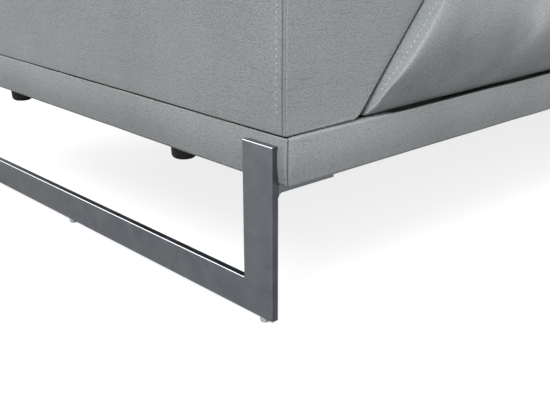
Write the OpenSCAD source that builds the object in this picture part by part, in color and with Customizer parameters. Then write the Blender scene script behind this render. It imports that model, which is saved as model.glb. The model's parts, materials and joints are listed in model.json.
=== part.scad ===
// Leather corner sofa on flat steel sled legs: a two seat run with one arm, and a chaise on its right.
// Sizes are in millimetres. Inside this file x starts at the outer face of the end sled and runs to the
// right, y starts at the front of the run's base and runs to the back, and z starts at the floor.

/* [Whole sofa] */
// Depth of the run, from the front of its base to the back of its backrest
run_depth = 960; // [930:10:1040]
// Width of one seat of the run
seat_w = 700; // [640:10:780]
// Width of the chaise
chaise_w = 1040; // [1000:10:1140]
// How far the chaise reaches out in front of the run
chaise_reach = 1150; // [1100:10:1300]
// How far the side backrest reaches out in front of the run
side_back_reach = 600; // [560:10:680]
// Gap between the two modules
module_gap = 2; // [1:0.5:4]

/* [Sled legs] */
// Thickness of the flat steel
flat_t = 10; // [8:1:12]
// Width of the uprights
upright_w = 50; // [40:1:60]
// Height of the runner that lies along the floor
runner_h = 43; // [35:1:50]
// How far the uprights stand back from the corners of the base
sled_setback = 16; // [10:1:30]
// How far the uprights lap up the face of the base
upright_lap = 44; // [30:1:48]
// How far the welded plates reach in under the base
bracket_reach = 88; // [70:1:110]
// Leg length of the weld in the corner under each plate
weld = 5; // [3:1:7]
// Diameter of the glides under the runner
glide_d = 12; // [8:1:16]
// Height of the glides
glide_h = 6; // [4:1:10]

/* [Base] */
// Height of the underside of the base above the floor
base_z = 175; // [150:5:200]
// Height of the base
base_h = 55; // [50:1:70]
// Thickness of the padded leather cover round the base
cover_t = 9; // [6:1:11]
// Corner radius of the base in plan
base_corner_r = 12; // [11.5:0.5:20]
// Edge radius of the padded leather cover
base_edge_r = 4; // [2:0.5:4]
// Thickness of the timber rails
rail_t = 22; // [18:1:28]
// Thickness of the black cloth under the base
dust_t = 1; // [0.6:0.1:1.5]

/* [Feet under the base] */
// Diameter of the short black stub feet
stub_d = 36; // [30:1:46]
// Height of the stub feet
stub_h = 30; // [20:1:36]
// Distance from the side of the base to the centre of a stub foot
stub_inset = 46; // [40:1:55]
// Distance from the front and back of the base to a stub foot
stub_from_front = 252; // [200:1:280]
// Top diameter of the plastic support legs
leg_top_d = 56; // [50:1:62]
// Foot diameter of the plastic support legs
leg_foot_d = 40; // [34:1:46]
// Thickness of the felt pad under a support leg
leg_pad_t = 4; // [3:0.5:6]

/* [Arm] */
// Width of the arm
arm_w = 230; // [210:5:260]
// Width of the arm where it stands on the base
arm_foot_w = 113; // [105:1:125]
// Lean of the arm's inner side over the seat, from the vertical
arm_lean = 40.6; // [34:0.2:44]
// Height of the top of the arm above the floor
arm_top = 590; // [560:5:640]
// How far the arm's front stands back from the front of the base
arm_setback = 4; // [2:1:10]
// Edge radius of the arm
arm_edge_r = 10; // [6:1:14]

/* [Seats] */
// Height of the seats above the floor
seat_top = 440; // [425:5:470]
// Air gap between the base and the front edge of a seat
seat_lift = 6; // [4:1:8]
// How far the round front of a seat stands out in front of the base
nose_out = 27; // [20:1:34]
// How far the round front draws back at its top and bottom edges
nose_roll = 39; // [32:1:46]
// Roll of the seat edges that have no nose
edge_roll = 10; // [6:1:14]
// Crown of a seat above its edges
seat_crown = 7; // [4:1:10]
// Height of the spring frames
spring_frame_h = 68; // [60:1:74]
// Width of the elastic belts under the seats and backs
belt_w = 50; // [40:5:60]
// Thickness of the elastic belts
belt_t = 2; // [1.5:0.5:3]

/* [Backrest] */
// Thickness of the backrest shell at seat level
shell_depth = 270; // [250:5:280]
// Height of the top of the backrest shell
shell_top = 690; // [670:5:720]
// Wall of the backrest shell, leather over board
shell_wall = 12; // [8:1:15]
// Width of the board that the backrest's inner ribs are cut to
rib_w = 55; // [40:1:70]
// Thickness of a back cushion at the seat
back_pad_t = 94; // [80:1:105]
// How much thinner a back cushion is at its top
back_pad_taper = 19; // [10:1:28]
// How far the shell leans back between the seat and its top
shell_rake = 25; // [15:1:30]

/* [Headrests] */
// Radius of a headrest at its hinge
head_r = 45; // [38:1:50]
// Radius of a headrest at its free edge
head_tip_r = 38; // [32:1:42]
// Distance from a headrest's hinge to the centre of its free edge
head_reach = 212; // [190:1:220]
// Slope of a folded headrest, down towards the back
head_droop = 2; // [0:0.5:3]
// Thickness of the hinge plates
hinge_t = 4; // [3:0.5:5]
// Radius of the hinge pins
pin_r = 5; // [4:0.5:6]
// Clearance of the hinge bores round their pins
pin_fit = 0.05; // [0.03:0.01:0.08]
// Distance from the end of a headrest to its nearer hinge
hinge_from_end = 130; // [100:5:180]

/* [Hidden] */

LEATHER = [0.53, 0.55, 0.55];
STEEL = [0.62, 0.63, 0.65];
BLACK = [0.03, 0.03, 0.035];
TIMBER = [0.72, 0.56, 0.38];
SPRING = [0.35, 0.36, 0.38];
CLEAR = [0.75, 0.76, 0.76];
FELT = [0.25, 0.25, 0.26];

touch_gap = 0.3;                      // between soft pieces and what they rest on
seat_gap = 1.5;                       // between neighbouring cushions
base_top = base_z + base_h;
main_x0 = flat_t;
arm_x1 = main_x0 + arm_w;
main_x1 = arm_x1 + 2 * seat_w;
chaise_x0 = main_x1 + module_gap;
chaise_x1 = chaise_x0 + chaise_w;
side_shift = chaise_x1 - run_depth;   // turns a depth of the run into an x of the side backrest
overall_w = chaise_x1 + nose_out;
overall_front = chaise_reach + nose_out;
shell_y = run_depth - shell_depth;    // front of the backrest shell at seat level
seat_rear = shell_y - seat_gap;
back_z = seat_top - 12;               // bottom of the back cushions
back_top = shell_top;
rake = shell_rake / (shell_top - back_z);
pad_front = shell_y - back_pad_t;     // front of the back cushions at the seat
hinge_z = shell_top + 5 + head_r;
hinge_y = shell_y + shell_rake - back_pad_t + back_pad_taper + head_r;
head_front = hinge_y - head_r;
frame_z = base_z + dust_t + 1;
frame_h = base_top - frame_z;
spring_z = base_top + spring_frame_h;

// Helper functions

// Points along an arc of a circle, from angle a0 to angle a1
function arc(c, r, a0, a1, n) =
    [for (i = [0:n]) let (a = a0 + (a1 - a0) * i / n) [c[0] + r * cos(a), c[1] + r * sin(a)]];

// Points between two corners of an outline, drawn in by bow in the middle
function drawn_side(p, q, bow, n) =
    let (dir = (q - p) / norm(q - p), inward = [-dir[1], dir[0]])
    [for (i = [1:n]) let (t = i / (n + 1)) p + (q - p) * t + inward * bow * sin(180 * t)];

// Rounded rectangle, anticlockwise from its lower left corner
function rounded_box(lo, hi, r, bow = [0, 0, 0, 0], corner_n = 3, side_n = 4) =
    concat(
        arc([lo[0] + r, lo[1] + r], r, 180, 270, corner_n),
        drawn_side([lo[0] + r, lo[1]], [hi[0] - r, lo[1]], bow[0], side_n),
        arc([hi[0] - r, lo[1] + r], r, 270, 360, corner_n),
        drawn_side([hi[0], lo[1] + r], [hi[0], hi[1] - r], bow[1], side_n),
        arc([hi[0] - r, hi[1] - r], r, 0, 90, corner_n),
        drawn_side([hi[0] - r, hi[1]], [lo[0] + r, hi[1]], bow[2], side_n),
        arc([lo[0] + r, hi[1] - r], r, 90, 180, corner_n),
        drawn_side([lo[0], hi[1] - r], [lo[0], lo[1] + r], bow[3], side_n));

function unit(v) = v / norm(v);
function wrap(list, i) = list[(i + len(list)) % len(list)];
function left_of(v) = [-v[1], v[0]];

// Polygon moved in by d along every edge
function inset(poly, d) =
    [for (i = [0:len(poly) - 1])
        let (n1 = left_of(unit(poly[i] - wrap(poly, i - 1))),
            n2 = left_of(unit(wrap(poly, i + 1) - poly[i])))
        poly[i] + (n1 + n2) * d / (1 + n1 * n2)];

// Polygon with its corners rounded, each to its own radius
function rounded(poly, radii, n) =
    [for (i = [0:len(poly) - 1])
        let (u = unit(wrap(poly, i - 1) - poly[i]), v = unit(wrap(poly, i + 1) - poly[i]),
            half = acos(u * v) / 2, r = max(radii[i], 0.5), reach = r / tan(half),
            c = poly[i] + unit(u + v) * r / sin(half),
            p = poly[i] + u * reach - c, q = poly[i] + v * reach - c,
            a0 = atan2(p[1], p[0]), turn = atan2(q[1], q[0]) - a0,
            sweep = turn > 180 ? turn - 360 : turn < -180 ? turn + 360 : turn)
        each arc(c, r, a0, a0 + sweep, n)];

function lift(ring, z) = [for (p = ring) [p[0], p[1], z]];
function middle(ring) = [for (k = [0:2]) [for (p = ring) p[k]] * [for (p = ring) 1] / len(ring)];
function smooth(t) = let (s = min(max(t, 0), 1)) s * s * (3 - 2 * s);

// Ring drawn in to the share k of its size and raised towards the middle of a crown
function domed(ring, mid, k, rise) =
    [for (p = ring) [mid[0] + (p[0] - mid[0]) * k, mid[1] + (p[1] - mid[1]) * k, p[2] + rise * (1 - k * k)]];

// Closed skin through a stack of rings, with a fan over each end
module loft(rings) {
    n = len(rings[0]);
    last = len(rings) - 1;
    points = concat([middle(rings[0])], [for (ring = rings) each ring], [middle(rings[last])]);
    function at(i, j) = 1 + i * n + j % n;
    faces = concat(
        [for (j = [0:n - 1]) [0, at(0, j), at(0, j + 1)]],
        [for (i = [0:last - 1], j = [0:n - 1]) each [
            [at(i, j), at(i + 1, j + 1), at(i, j + 1)],
            [at(i, j), at(i + 1, j), at(i + 1, j + 1)]]],
        [for (j = [0:n - 1]) [len(points) - 1, at(last, j + 1), at(last, j)]]);
    polyhedron(points, faces);
}

// Closed band: a small section carried round a plan outline, as a list of rings that meet again
module band(rings) {
    n = len(rings[0]);
    m = len(rings);
    function at(i, j) = (i % m) * n + j % n;
    polyhedron(
        [for (ring = rings) each ring],
        [for (i = [0:m - 1], j = [0:n - 1]) each [
            [at(i, j), at(i + 1, j + 1), at(i, j + 1)],
            [at(i, j), at(i + 1, j), at(i + 1, j + 1)]]]);
}

module box(lo, hi) {
    translate(lo) cube(hi - lo);
}

// Cylinder along x, centred on x = 0
module x_cylinder(r, length) {
    rotate([0, 90, 0]) cylinder(r = r, h = length, center = true, $fn = 48);
}

// Carries what is drawn for the run's backrest to the side backrest of the chaise
module on_side() {
    translate([side_shift, 0, 0]) rotate([0, 0, -90]) children();
}

// Puts the finished pieces round the origin, under the middle of the whole sofa
module in_frame() {
    translate([-overall_w / 2, (overall_front - run_depth) / 2, 0]) children();
}

// Sled legs

bracket_hole_r = 3.3;
screw_r = 3;
screw_head_r = 5.5;
screw_len = 34;
screw_spread = 24;

// Flat steel sled in its own frame: y along the runner, outer face at x = 0
module sled(length) {
    top = base_z + upright_lap;
    color(STEEL) rotate([90, 0, 90]) linear_extrude(flat_t) polygon([
        [0, glide_h], [length, glide_h], [length, top], [length - upright_w, top],
        [length - upright_w, glide_h + runner_h], [upright_w, glide_h + runner_h],
        [upright_w, top], [0, top]]);
}

// Plate welded to the inner face of an upright, with its weld below and two screw holes
module sled_bracket() {
    difference() {
        rotate([90, 0, 0]) mirror([0, 0, 1]) linear_extrude(upright_w) polygon([
            [flat_t, base_z], [flat_t, base_z - flat_t - weld],
            [flat_t + 0.3 * weld, base_z - flat_t - 0.3 * weld], [flat_t + weld, base_z - flat_t],
            [flat_t + bracket_reach, base_z - flat_t], [flat_t + bracket_reach, base_z]]);
        bracket_screw_places() translate([0, 0, base_z - 2 * flat_t])
            cylinder(r = bracket_hole_r, h = 3 * flat_t, $fn = 32);
    }
}

module bracket_screw_places() {
    middle_x = flat_t + bracket_reach - screw_spread;
    for (k = [-1, 1]) translate([middle_x + k * screw_spread / 2, upright_w / 2, 0]) children();
}

// Carries a piece to both uprights of a sled
module sled_ends(length) {
    children();
    translate([0, length - upright_w, 0]) children();
}

module sled_brackets(length) {
    color(STEEL) sled_ends(length) sled_bracket();
}

// Small clear plastic glides with a rounded edge at the floor
module sled_glides(length) {
    r = glide_d / 2;
    end = 3 * r;
    color(CLEAR) for (y = [end, length / 2, length - end])
        translate([flat_t / 2, y, 0]) rotate_extrude($fn = 40)
            polygon(concat([[0, 0]], arc([r - 2, 2], 2, -90, 0, 4), [[r, glide_h], [0, glide_h]]));
}

module sled_screws(length) {
    color(SPRING) sled_ends(length) bracket_screw_places() pan_head_screw();
}

// Pan head screw driven up into the frame
module pan_head_screw() {
    z = base_z - flat_t;
    translate([0, 0, z - 3]) cylinder(r = screw_head_r, h = 3, $fn = 32);
    translate([0, 0, z - 0.5]) cylinder(r = screw_r, h = screw_len, $fn = 32);
}

end_sled_length = run_depth - 2 * sled_setback;
foot_sled_length = chaise_w - 2 * sled_setback;

module at_end_sled() {
    translate([0, sled_setback, 0]) children();
}

module at_foot_sled() {
    translate([chaise_x1 - sled_setback, -chaise_reach - flat_t, 0]) rotate([0, 0, 90]) children();
}

// Base

main_lo = [main_x0, 0];
main_hi = [main_x1, run_depth];
chaise_lo = [chaise_x0, -chaise_reach];
chaise_hi = [chaise_x1, run_depth];

// Padded leather round the edge of a base
module base_cover(lo, hi) {
    r = base_edge_r;
    section = concat(arc([r, base_z + r], r, 270, 180, 2), arc([r, base_top - r], r, 180, 90, 2),
        [[cover_t, base_top], [cover_t, base_z]]);
    color(LEATHER) band([for (s = section)
        lift(rounded_box(lo + [1, 1] * s[0], hi - [1, 1] * s[0], base_corner_r - s[0],
            [0, 0, 0, 0], 4, 0), s[1])]);
}

// Timber frame with rails round it and cross rails at the given places
module ladder(lo, hi, z0, z1, cross_x = [], cross_y = []) {
    half = rail_t / 2;
    difference() {
        box([lo[0], lo[1], z0], [hi[0], hi[1], z1]);
        box([lo[0] + rail_t, lo[1] + rail_t, z0 - 1], [hi[0] - rail_t, hi[1] - rail_t, z1 + 1]);
    }
    for (x = cross_x) box([x - half, lo[1] + half, z0], [x + half, hi[1] - half, z1]);
    for (y = cross_y) box([lo[0] + half, y - half, z0], [hi[0] - half, y + half, z1]);
}

// Flat plate with the rounded corners of the base's padding
module rounded_plate(lo, hi, z0, z1) {
    translate([0, 0, z0]) linear_extrude(z1 - z0)
        polygon(rounded_box(lo, hi, frame_corner_r, [0, 0, 0, 0], 4, 0));
}

// Blocks in the four corners of a base, which the screws and feet go into
module corner_blocks(lo, hi) {
    for (x = [lo[0], hi[0] - block], y = [lo[1], hi[1] - block])
        box([x, y, frame_z], [x + block, y + block, frame_z + 0.7 * frame_h]);
}

frame_in = cover_t + touch_gap;
frame_corner_r = base_corner_r - frame_in;
main_frame_lo = main_lo + [frame_in, frame_in];
main_frame_hi = main_hi - [frame_in, frame_in];
chaise_frame_lo = chaise_lo + [frame_in, frame_in];
chaise_frame_hi = chaise_hi - [frame_in, frame_in];
block = 110;

module main_base_frame() {
    color(TIMBER) difference() {
        intersection() {
            rounded_plate(main_frame_lo, main_frame_hi, frame_z, base_top);
            union() {
                ladder(main_frame_lo, main_frame_hi, frame_z, base_top,
                    cross_x = concat([arm_rail_x], [for (plan = main_plans) each spring_rails(plan, 0)]));
                corner_blocks(main_frame_lo, main_frame_hi);
            }
        }
        at_end_sled() screw_holes(end_sled_length);
        arm_bolt_places() translate([0, 0, frame_z - 1]) {
            cylinder(r = bolt_r + 0.2, h = frame_h + 2, $fn = 32);
            cylinder(r = bolt_washer_r + 1, h = bolt_recess + 1, $fn = 32);
        }
    }
}

module chaise_base_frame() {
    color(TIMBER) difference() {
        intersection() {
            rounded_plate(chaise_frame_lo, chaise_frame_hi, frame_z, base_top);
            union() {
                ladder(chaise_frame_lo, chaise_frame_hi, frame_z, base_top,
                    cross_y = [for (plan = chaise_plans) each spring_rails(plan, 1)]);
                corner_blocks(chaise_frame_lo, chaise_frame_hi);
            }
        }
        at_foot_sled() screw_holes(foot_sled_length);
    }
}

module screw_holes(length) {
    sled_ends(length) bracket_screw_places() translate([0, 0, base_z - 1])
        cylinder(r = screw_r + 0.1, h = screw_len - flat_t + 2, $fn = 32);
}

// Black cloth under each base, with holes where the screws and bolts go through
module main_dust_cover() {
    color(BLACK) difference() {
        rounded_plate(main_frame_lo, main_frame_hi, frame_z - dust_t, frame_z);
        at_end_sled() screw_holes(end_sled_length);
        arm_bolt_places() translate([0, 0, base_z - 1])
            cylinder(r = bolt_washer_r + 1, h = dust_t + 3, $fn = 32);
    }
}

module chaise_dust_cover() {
    color(BLACK) difference() {
        rounded_plate(chaise_frame_lo, chaise_frame_hi, frame_z - dust_t, frame_z);
        at_foot_sled() screw_holes(foot_sled_length);
    }
}

// Feet under the base

under = frame_z - dust_t;              // underside of the cloth, which the feet bear against
leg_from_joint = 80;
leg_from_edge = 90;

module stub_places() {
    in = stub_inset;
    far = stub_from_front;
    for (x = [main_x0 + in, main_x1 - in], y = [far, run_depth - far])
        translate([x, y, 0]) children();
    for (x = [chaise_x0 + in, chaise_x1 - in], y = [far - chaise_reach, -far])
        translate([x, y, 0]) children();
}

// Short black plastic feet with a rounded lower edge
module stub_feet() {
    r = stub_d / 2;
    round_r = 6;
    low = base_z - stub_h;
    color(BLACK) stub_places() rotate_extrude($fn = 64) polygon(concat(
        [[0, low]], arc([r - 1 - round_r, low + round_r], round_r, -90, 0, 5),
        [[r, under - 6], [r, under], [0, under]]));
}

leg_places = [
    [main_x1 - leg_from_joint, leg_from_edge], [main_x1 - leg_from_joint, run_depth - leg_from_edge],
    [chaise_x0 + leg_from_joint, leg_from_edge], [chaise_x0 + leg_from_joint, run_depth - leg_from_edge],
    [chaise_x1 - leg_from_edge, leg_from_edge], [chaise_x1 - leg_from_edge, run_depth - leg_from_edge]];

// Tapered plastic legs with a collar under the base
module support_legs() {
    top = leg_top_d / 2;
    foot = leg_foot_d / 2;
    color(BLACK) for (p = leg_places) translate(p) rotate_extrude($fn = 64) polygon([
        [0, leg_pad_t], [foot - 2, leg_pad_t], [foot, leg_pad_t + 3],
        [top - 6, under - 14], [top, under - 10], [top, under], [0, under]]);
}

module support_leg_pads() {
    color(FELT) for (p = leg_places) translate(p) cylinder(r = leg_foot_d / 2 - 3, h = leg_pad_t, $fn = 48);
}

connector_from_end = 190;
connector_reach = 46;                  // how far a connector reaches under each base
connector_w = 50;
connector_t = 3;
connector_hole_in = 16;                // from a connector's end to its screw holes
connector_hole_spread = 24;
plate_hole_r = 2.6;                    // screw holes in the thin steel plates

// Steel plates that hook the two modules together under their rails
module module_connectors() {
    low = base_z - connector_t;
    x0 = main_x1 - connector_reach;
    x1 = chaise_x0 + connector_reach;
    color(SPRING) for (y = [connector_from_end, run_depth - connector_from_end]) difference() {
        box([x0, y - connector_w / 2, low], [x1, y + connector_w / 2, base_z]);
        for (x = [x0 + connector_hole_in, x1 - connector_hole_in], side = [-1, 1])
            translate([x, y + side * connector_hole_spread / 2, low - 1])
                cylinder(r = plate_hole_r, h = connector_t + 2, $fn = 32);
    }
}

// Arm

bolt_r = 4;
bolt_washer_r = 9;
bolt_recess = 18;
arm_z = base_top + touch_gap;
arm_front = arm_setback;
arm_rear = run_depth - arm_setback;
arm_wall = 22;
arm_core_x0 = main_x0 + arm_wall;
arm_core_x1 = main_x0 + arm_foot_w - 8;
arm_core_top = arm_top - 40;
arm_rail_x = (arm_core_x0 + arm_core_x1) / 2;
arm_crown = 6;                         // how much the top of the arm rises to its middle
arm_radii = [8, 9, 45, 26, 400, 22];   // from the foot's outer corner round to the top's outer corner
arm_bolt_in = 130;                     // from the ends of the arm to its outer bolts

// Height at which the arm's leaning inner side reaches its full width
arm_shoulder_z = arm_z + (arm_w - arm_foot_w) / tan(arm_lean);

// Front view of the arm: a narrow foot, an inner side that leans over the seat, and a full width top
function arm_outline(d) =
    rounded(inset([[main_x0, arm_z], [main_x0 + arm_foot_w, arm_z], [arm_x1, arm_shoulder_z],
        [arm_x1, arm_top - arm_crown], [(main_x0 + arm_x1) / 2, arm_top],
        [main_x0, arm_top - arm_crown]], d), [for (r = arm_radii) r - d], 4);

module arm_cover() {
    r = arm_edge_r;
    ends = [[0, 0.8], [0.25, 0.3], [0.7, 0.05], [1.4, 0]];
    function slice(e, y) = [for (p = arm_outline(r * e[1])) [p[0], y, p[1]]];
    rings = concat(
        [for (e = ends) slice(e, arm_rear - r * e[0])],
        [for (k = [len(ends) - 1:-1:0]) slice(ends[k], arm_front + r * ends[k][0])]);
    color(LEATHER) difference() {
        loft(rings);
        box([arm_core_x0 - touch_gap, arm_front + arm_wall, arm_z - 2],
            [arm_core_x1 + touch_gap, arm_rear - arm_wall, arm_core_top + touch_gap]);
    }
}

module arm_bolt_places() {
    for (y = [arm_front + arm_bolt_in, run_depth / 2, arm_rear - arm_bolt_in])
        translate([arm_rail_x, y, 0]) children();
}

// Timber core of the arm: boards at the bottom and top, with three posts
module arm_frame() {
    y0 = arm_front + arm_wall + touch_gap;
    y1 = arm_rear - arm_wall - touch_gap;
    color(TIMBER) difference() {
        union() {
            box([arm_core_x0, y0, base_top], [arm_core_x1, y1, base_top + rail_t]);
            box([arm_core_x0, y0, arm_core_top - rail_t], [arm_core_x1, y1, arm_core_top]);
            for (y = [y0, (y0 + y1 - 2 * rail_t) / 2, y1 - 2 * rail_t])
                box([arm_core_x0, y, base_top], [arm_core_x1, y + 2 * rail_t, arm_core_top]);
        }
        arm_bolt_places() translate([0, 0, base_top - 1]) cylinder(r = bolt_r + 0.1, h = 60, $fn = 32);
    }
}

// Bolts that hold the arm down, with a washer and a hexagon head in the recess of the frame
module arm_bolts() {
    head = 6;
    color(SPRING) arm_bolt_places() translate([0, 0, frame_z + bolt_recess]) {
        translate([0, 0, -2]) cylinder(r = bolt_washer_r, h = 2, $fn = 48);
        translate([0, 0, -2 - head]) cylinder(r = 7.5, h = head, $fn = 6);
        translate([0, 0, -1]) cylinder(r = bolt_r, h = frame_h - bolt_recess + rail_t - 3, $fn = 32);
    }
}

// Seats

seat_z = base_top + seat_lift;
seat_h = seat_top - seat_crown - seat_z;
seat_angles = [-90, -70, -50, -28, 0, 28, 50, 70, 90];

// Angle of the roll at which the seat beside the arm passes the arm's shoulder
shoulder_angle = asin(min(2 * (arm_shoulder_z - seat_z) / seat_h - 1, 0.97));

// How far a side of a seat stands out at angle a of its roll
function roll_out(nose, a) = nose ? nose_out - nose_roll * (1 - cos(a)) : -edge_roll * (1 - cos(a));

// Height lost where the back cushions bear on a seat; sides tells which cushions do
function settled(p, sides) =
    let (share = (p[2] - seat_z) / seat_h,
        rear = sides[0] ? smooth((p[1] - pad_front + 90) / 90) : 0,
        right = sides[1] ? smooth((p[0] - side_shift - pad_front + 90) / 90) : 0)
    [p[0], p[1], p[2] - share * (seat_crown + 9) * max(rear, right)];

// Seat between lo and hi in plan, with a nose on the sides marked in noses: front, right, rear, left.
// slant gives the left end the lean of the arm, and bears marks where back cushions stand on it.
module seat(plan, noses, bears, slant = false) {
    lo = plan[0];
    hi = plan[1];
    function left_at(z) = slant
        ? min(main_x0 + arm_foot_w + (z - arm_z) * tan(arm_lean), arm_x1) + seat_gap
        : lo[0];
    function ring_at(a) =
        let (z = seat_z + seat_h * (1 + sin(a)) / 2)
        lift(rounded_box(
            [left_at(z) - roll_out(noses[3], a) * (slant ? 0.4 : 1), lo[1] - roll_out(noses[0], a)],
            [hi[0] + roll_out(noses[1], a), hi[1] + roll_out(noses[2], a)],
            26 - (1 - cos(a)) * 12, [0, 5, 5, noses[3] ? 0 : 5]), z);
    top = ring_at(90);
    mid = middle(top);
    crown = [for (k = [0.72, 0.4]) domed(top, mid, k, seat_crown)];
    lower = [for (a = seat_angles) if (a < shoulder_angle - 4) a];
    upper = [for (a = seat_angles) if (a > shoulder_angle + 4) a];
    angles = slant ? concat(lower, [shoulder_angle], upper) : seat_angles;
    rings = concat([for (a = angles) ring_at(a)], crown);
    hollow = [hollow_lo(plan), hollow_hi(plan)];
    color(LEATHER) difference() {
        loft([for (ring = rings) [for (p = ring) settled(p, bears)]]);
        box([hollow[0][0], hollow[0][1], seat_z - 5], [hollow[1][0], hollow[1][1], hollow_top]);
    }
}

hollow_wall = 52;                      // foam left standing round the spring frame
lean_room = 26;                        // how far the hollow beside the arm reaches under the lean
spring_room = 4;                       // between a spring frame and the seat that stands over it
hollow_top = spring_z + 2 * belt_t + touch_gap;

// Hollow under a seat, which the spring frame stands in
function hollow_lo(plan) = plan[0] + [plan == left_seat_plan ? -lean_room : hollow_wall, hollow_wall];
function hollow_hi(plan) = plan[1] - [hollow_wall, hollow_wall];
function spring_lo(plan) = hollow_lo(plan) + [spring_room, spring_room];
function spring_hi(plan) = hollow_hi(plan) - [spring_room, spring_room];

// Centres of the two rails of the base that carry a spring frame, across the given axis
function spring_rails(plan, axis) = [spring_lo(plan)[axis] + rail_t / 2, spring_hi(plan)[axis] - rail_t / 2];

module spring_frame(plan) {
    ladder(spring_lo(plan), spring_hi(plan), base_top, spring_z);
}

// Elastic belts crossed over a spring frame
module seat_webbing(plan) {
    size = spring_hi(plan) - spring_lo(plan);
    module row(length, across, z) {
        count = floor((across - belt_w) / (1.7 * belt_w));
        for (i = [0:count - 1])
            translate([0, (i + 0.5) * across / count - belt_w / 2, z]) cube([length, belt_w, belt_t]);
    }
    color(BLACK) translate(spring_lo(plan)) {
        row(size[0], size[1], spring_z);
        translate([size[0], 0, 0]) rotate([0, 0, 90]) row(size[1], size[0], spring_z + belt_t);
    }
}

module left_seat() {
    seat(left_seat_plan, [true, false, false, false], [true, false], slant = true);
}

module middle_seat() {
    seat(middle_seat_plan, [true, false, false, false], [true, false]);
}

module corner_seat() {
    seat(corner_seat_plan, [false, false, false, false], [true, true]);
}

module chaise_seat() {
    seat(chaise_seat_plan, [false, false, false, true], [false, true]);
}

module chaise_end_seat() {
    seat(end_seat_plan, [true, true, false, true], [false, false]);
}

split_y = -nose_out - 6;               // where the corner seat meets the chaise seat
half_gap = seat_gap / 2;

left_seat_plan = [[arm_x1 + seat_gap, 0], [arm_x1 + seat_w - half_gap, seat_rear]];
middle_seat_plan = [[arm_x1 + seat_w + half_gap, 0], [main_x1 - half_gap, seat_rear]];
corner_seat_plan = [[chaise_x0 + half_gap, split_y + half_gap], [side_shift + seat_rear, seat_rear]];
chaise_seat_plan = [[chaise_x0, -side_back_reach + half_gap], [side_shift + seat_rear, split_y - half_gap]];
end_seat_plan = [[chaise_x0, -chaise_reach], [chaise_x1, -side_back_reach - half_gap - 1]];

// Backrest

// Section of the backrest shell, as y and z, moved in by d
function shell_outline(d) = inset([[shell_y, base_top + touch_gap], [run_depth, base_top + touch_gap],
    [run_depth, shell_top], [shell_y + shell_rake, shell_top], [shell_y, back_z]], d);

// Prism along x with the shell's section
module shell_prism(x0, x1, d, radii) {
    translate([x0, 0, 0]) rotate([90, 0, 90]) linear_extrude(x1 - x0)
        polygon(rounded(shell_outline(d), radii, 4));
}

shell_radii = [6, 14, 26, 20, 60];
inner_radii = [1, 1, 10, 6, 40];

// Opening that leaves a lip round the front of a shell
lip = 28;

module front_opening(x0, x1) {
    box([x0 + shell_wall, shell_y - 5, base_top + lip],
        [x1 - shell_wall, shell_y + shell_rake + 2 * shell_wall, shell_top - lip]);
}

// Upholstered shell between x0 and x1, open at the front where the belts carry the cushion
module back_shell(x0, x1) {
    difference() {
        shell_prism(x0, x1, 0, shell_radii);
        shell_prism(x0 + shell_wall, x1 - shell_wall, shell_wall, inner_radii);
        front_opening(x0, x1);
    }
}

// Plywood ribs cut as rings that follow the shell, with rails that join them
module back_frame(x0, x1) {
    g = shell_wall + touch_gap;
    a = x0 + g;
    b = x1 - g;
    for (x = [a, (a + b - rail_t) / 2, b - rail_t])
        translate([x, 0, 0]) rotate([90, 0, 90]) linear_extrude(rail_t) difference() {
            polygon(rounded(shell_outline(g), inner_radii, 4));
            polygon(shell_outline(g + rib_w));
        }
    low = base_top + touch_gap + g;
    high = shell_top - g;
    rails = [[shell_y + g, low], [run_depth - g - rail_t, low],
        [shell_y + shell_rake + g + 4, high - rib_w], [run_depth - g - 2 * rail_t, high - rib_w]];
    for (rail = rails) box([a, rail[0], rail[1]], [b, rail[0] + rail_t, rail[1] + 0.8 * rib_w]);
}

// Elastic belts across the leaning front of a backrest frame
module back_belts(x0, x1) {
    g = shell_wall + touch_gap;
    lean = atan(rake);
    step = (shell_top - lip - back_z - belt_w) / 3;
    for (i = [0:2]) translate([x0 + g, shell_y, back_z]) rotate([-lean, 0, 0])
        translate([0, g - belt_t, (i + 0.5) * step]) cube([x1 - x0 - 2 * g, belt_t, belt_w]);
}

// Half space on one side of the upright joint that runs out through the corner of the chaise's backrest
module mitre(side) {
    far = 3 * run_depth;
    translate([chaise_x1, run_depth, -1]) rotate([0, 0, 45])
        translate([-far, side > 0 ? touch_gap / 2 : -far - touch_gap / 2, 0]) cube([2 * far, far, far]);
}

// Where the arm stands, grown by d
module arm_room(d) {
    translate([0, 2 * run_depth, 0]) rotate([90, 0, 0]) linear_extrude(4 * run_depth) polygon(inset([
        [main_x0 - arm_w, base_z], [main_x0 + arm_foot_w - (arm_z - base_z) * tan(arm_lean), base_z],
        [arm_x1, arm_shoulder_z], [arm_x1, 2 * arm_top], [main_x0 - arm_w, 2 * arm_top]], -d));
}

// The run's shell fills the space beside the arm, so its left end has the arm's lean
module main_back_shell() {
    x0 = main_x0 + arm_foot_w;
    x1 = middle_x[1];
    color(LEATHER) difference() {
        shell_prism(x0, x1, 0, shell_radii);
        arm_room(seat_gap);
        difference() {
            shell_prism(x0, x1 - shell_wall, shell_wall, inner_radii);
            arm_room(seat_gap + shell_wall);
        }
        front_opening(left_x[0], x1);
    }
}

module main_back_frame() {
    color(TIMBER) back_frame(left_x[0], middle_x[1]);
}

corner_frame_x1 = chaise_x1 - shell_depth;

// The two shells that meet at the corner run past it and are cut along the upright joint
past_corner = chaise_x1 + 2 * shell_wall;

module chaise_back_shell() {
    color(LEATHER) intersection() {
        back_shell(corner_x[0], past_corner);
        mitre(1);
    }
}

module chaise_back_frame() {
    color(TIMBER) back_frame(corner_x[0], corner_frame_x1);
}

module side_back_shell() {
    color(LEATHER) intersection() {
        on_side() back_shell(side_shift - past_corner, side_back_reach);
        mitre(-1);
    }
}

module side_back_frame() {
    color(TIMBER) on_side() back_frame(-shell_y, side_back_reach);
}

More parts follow.
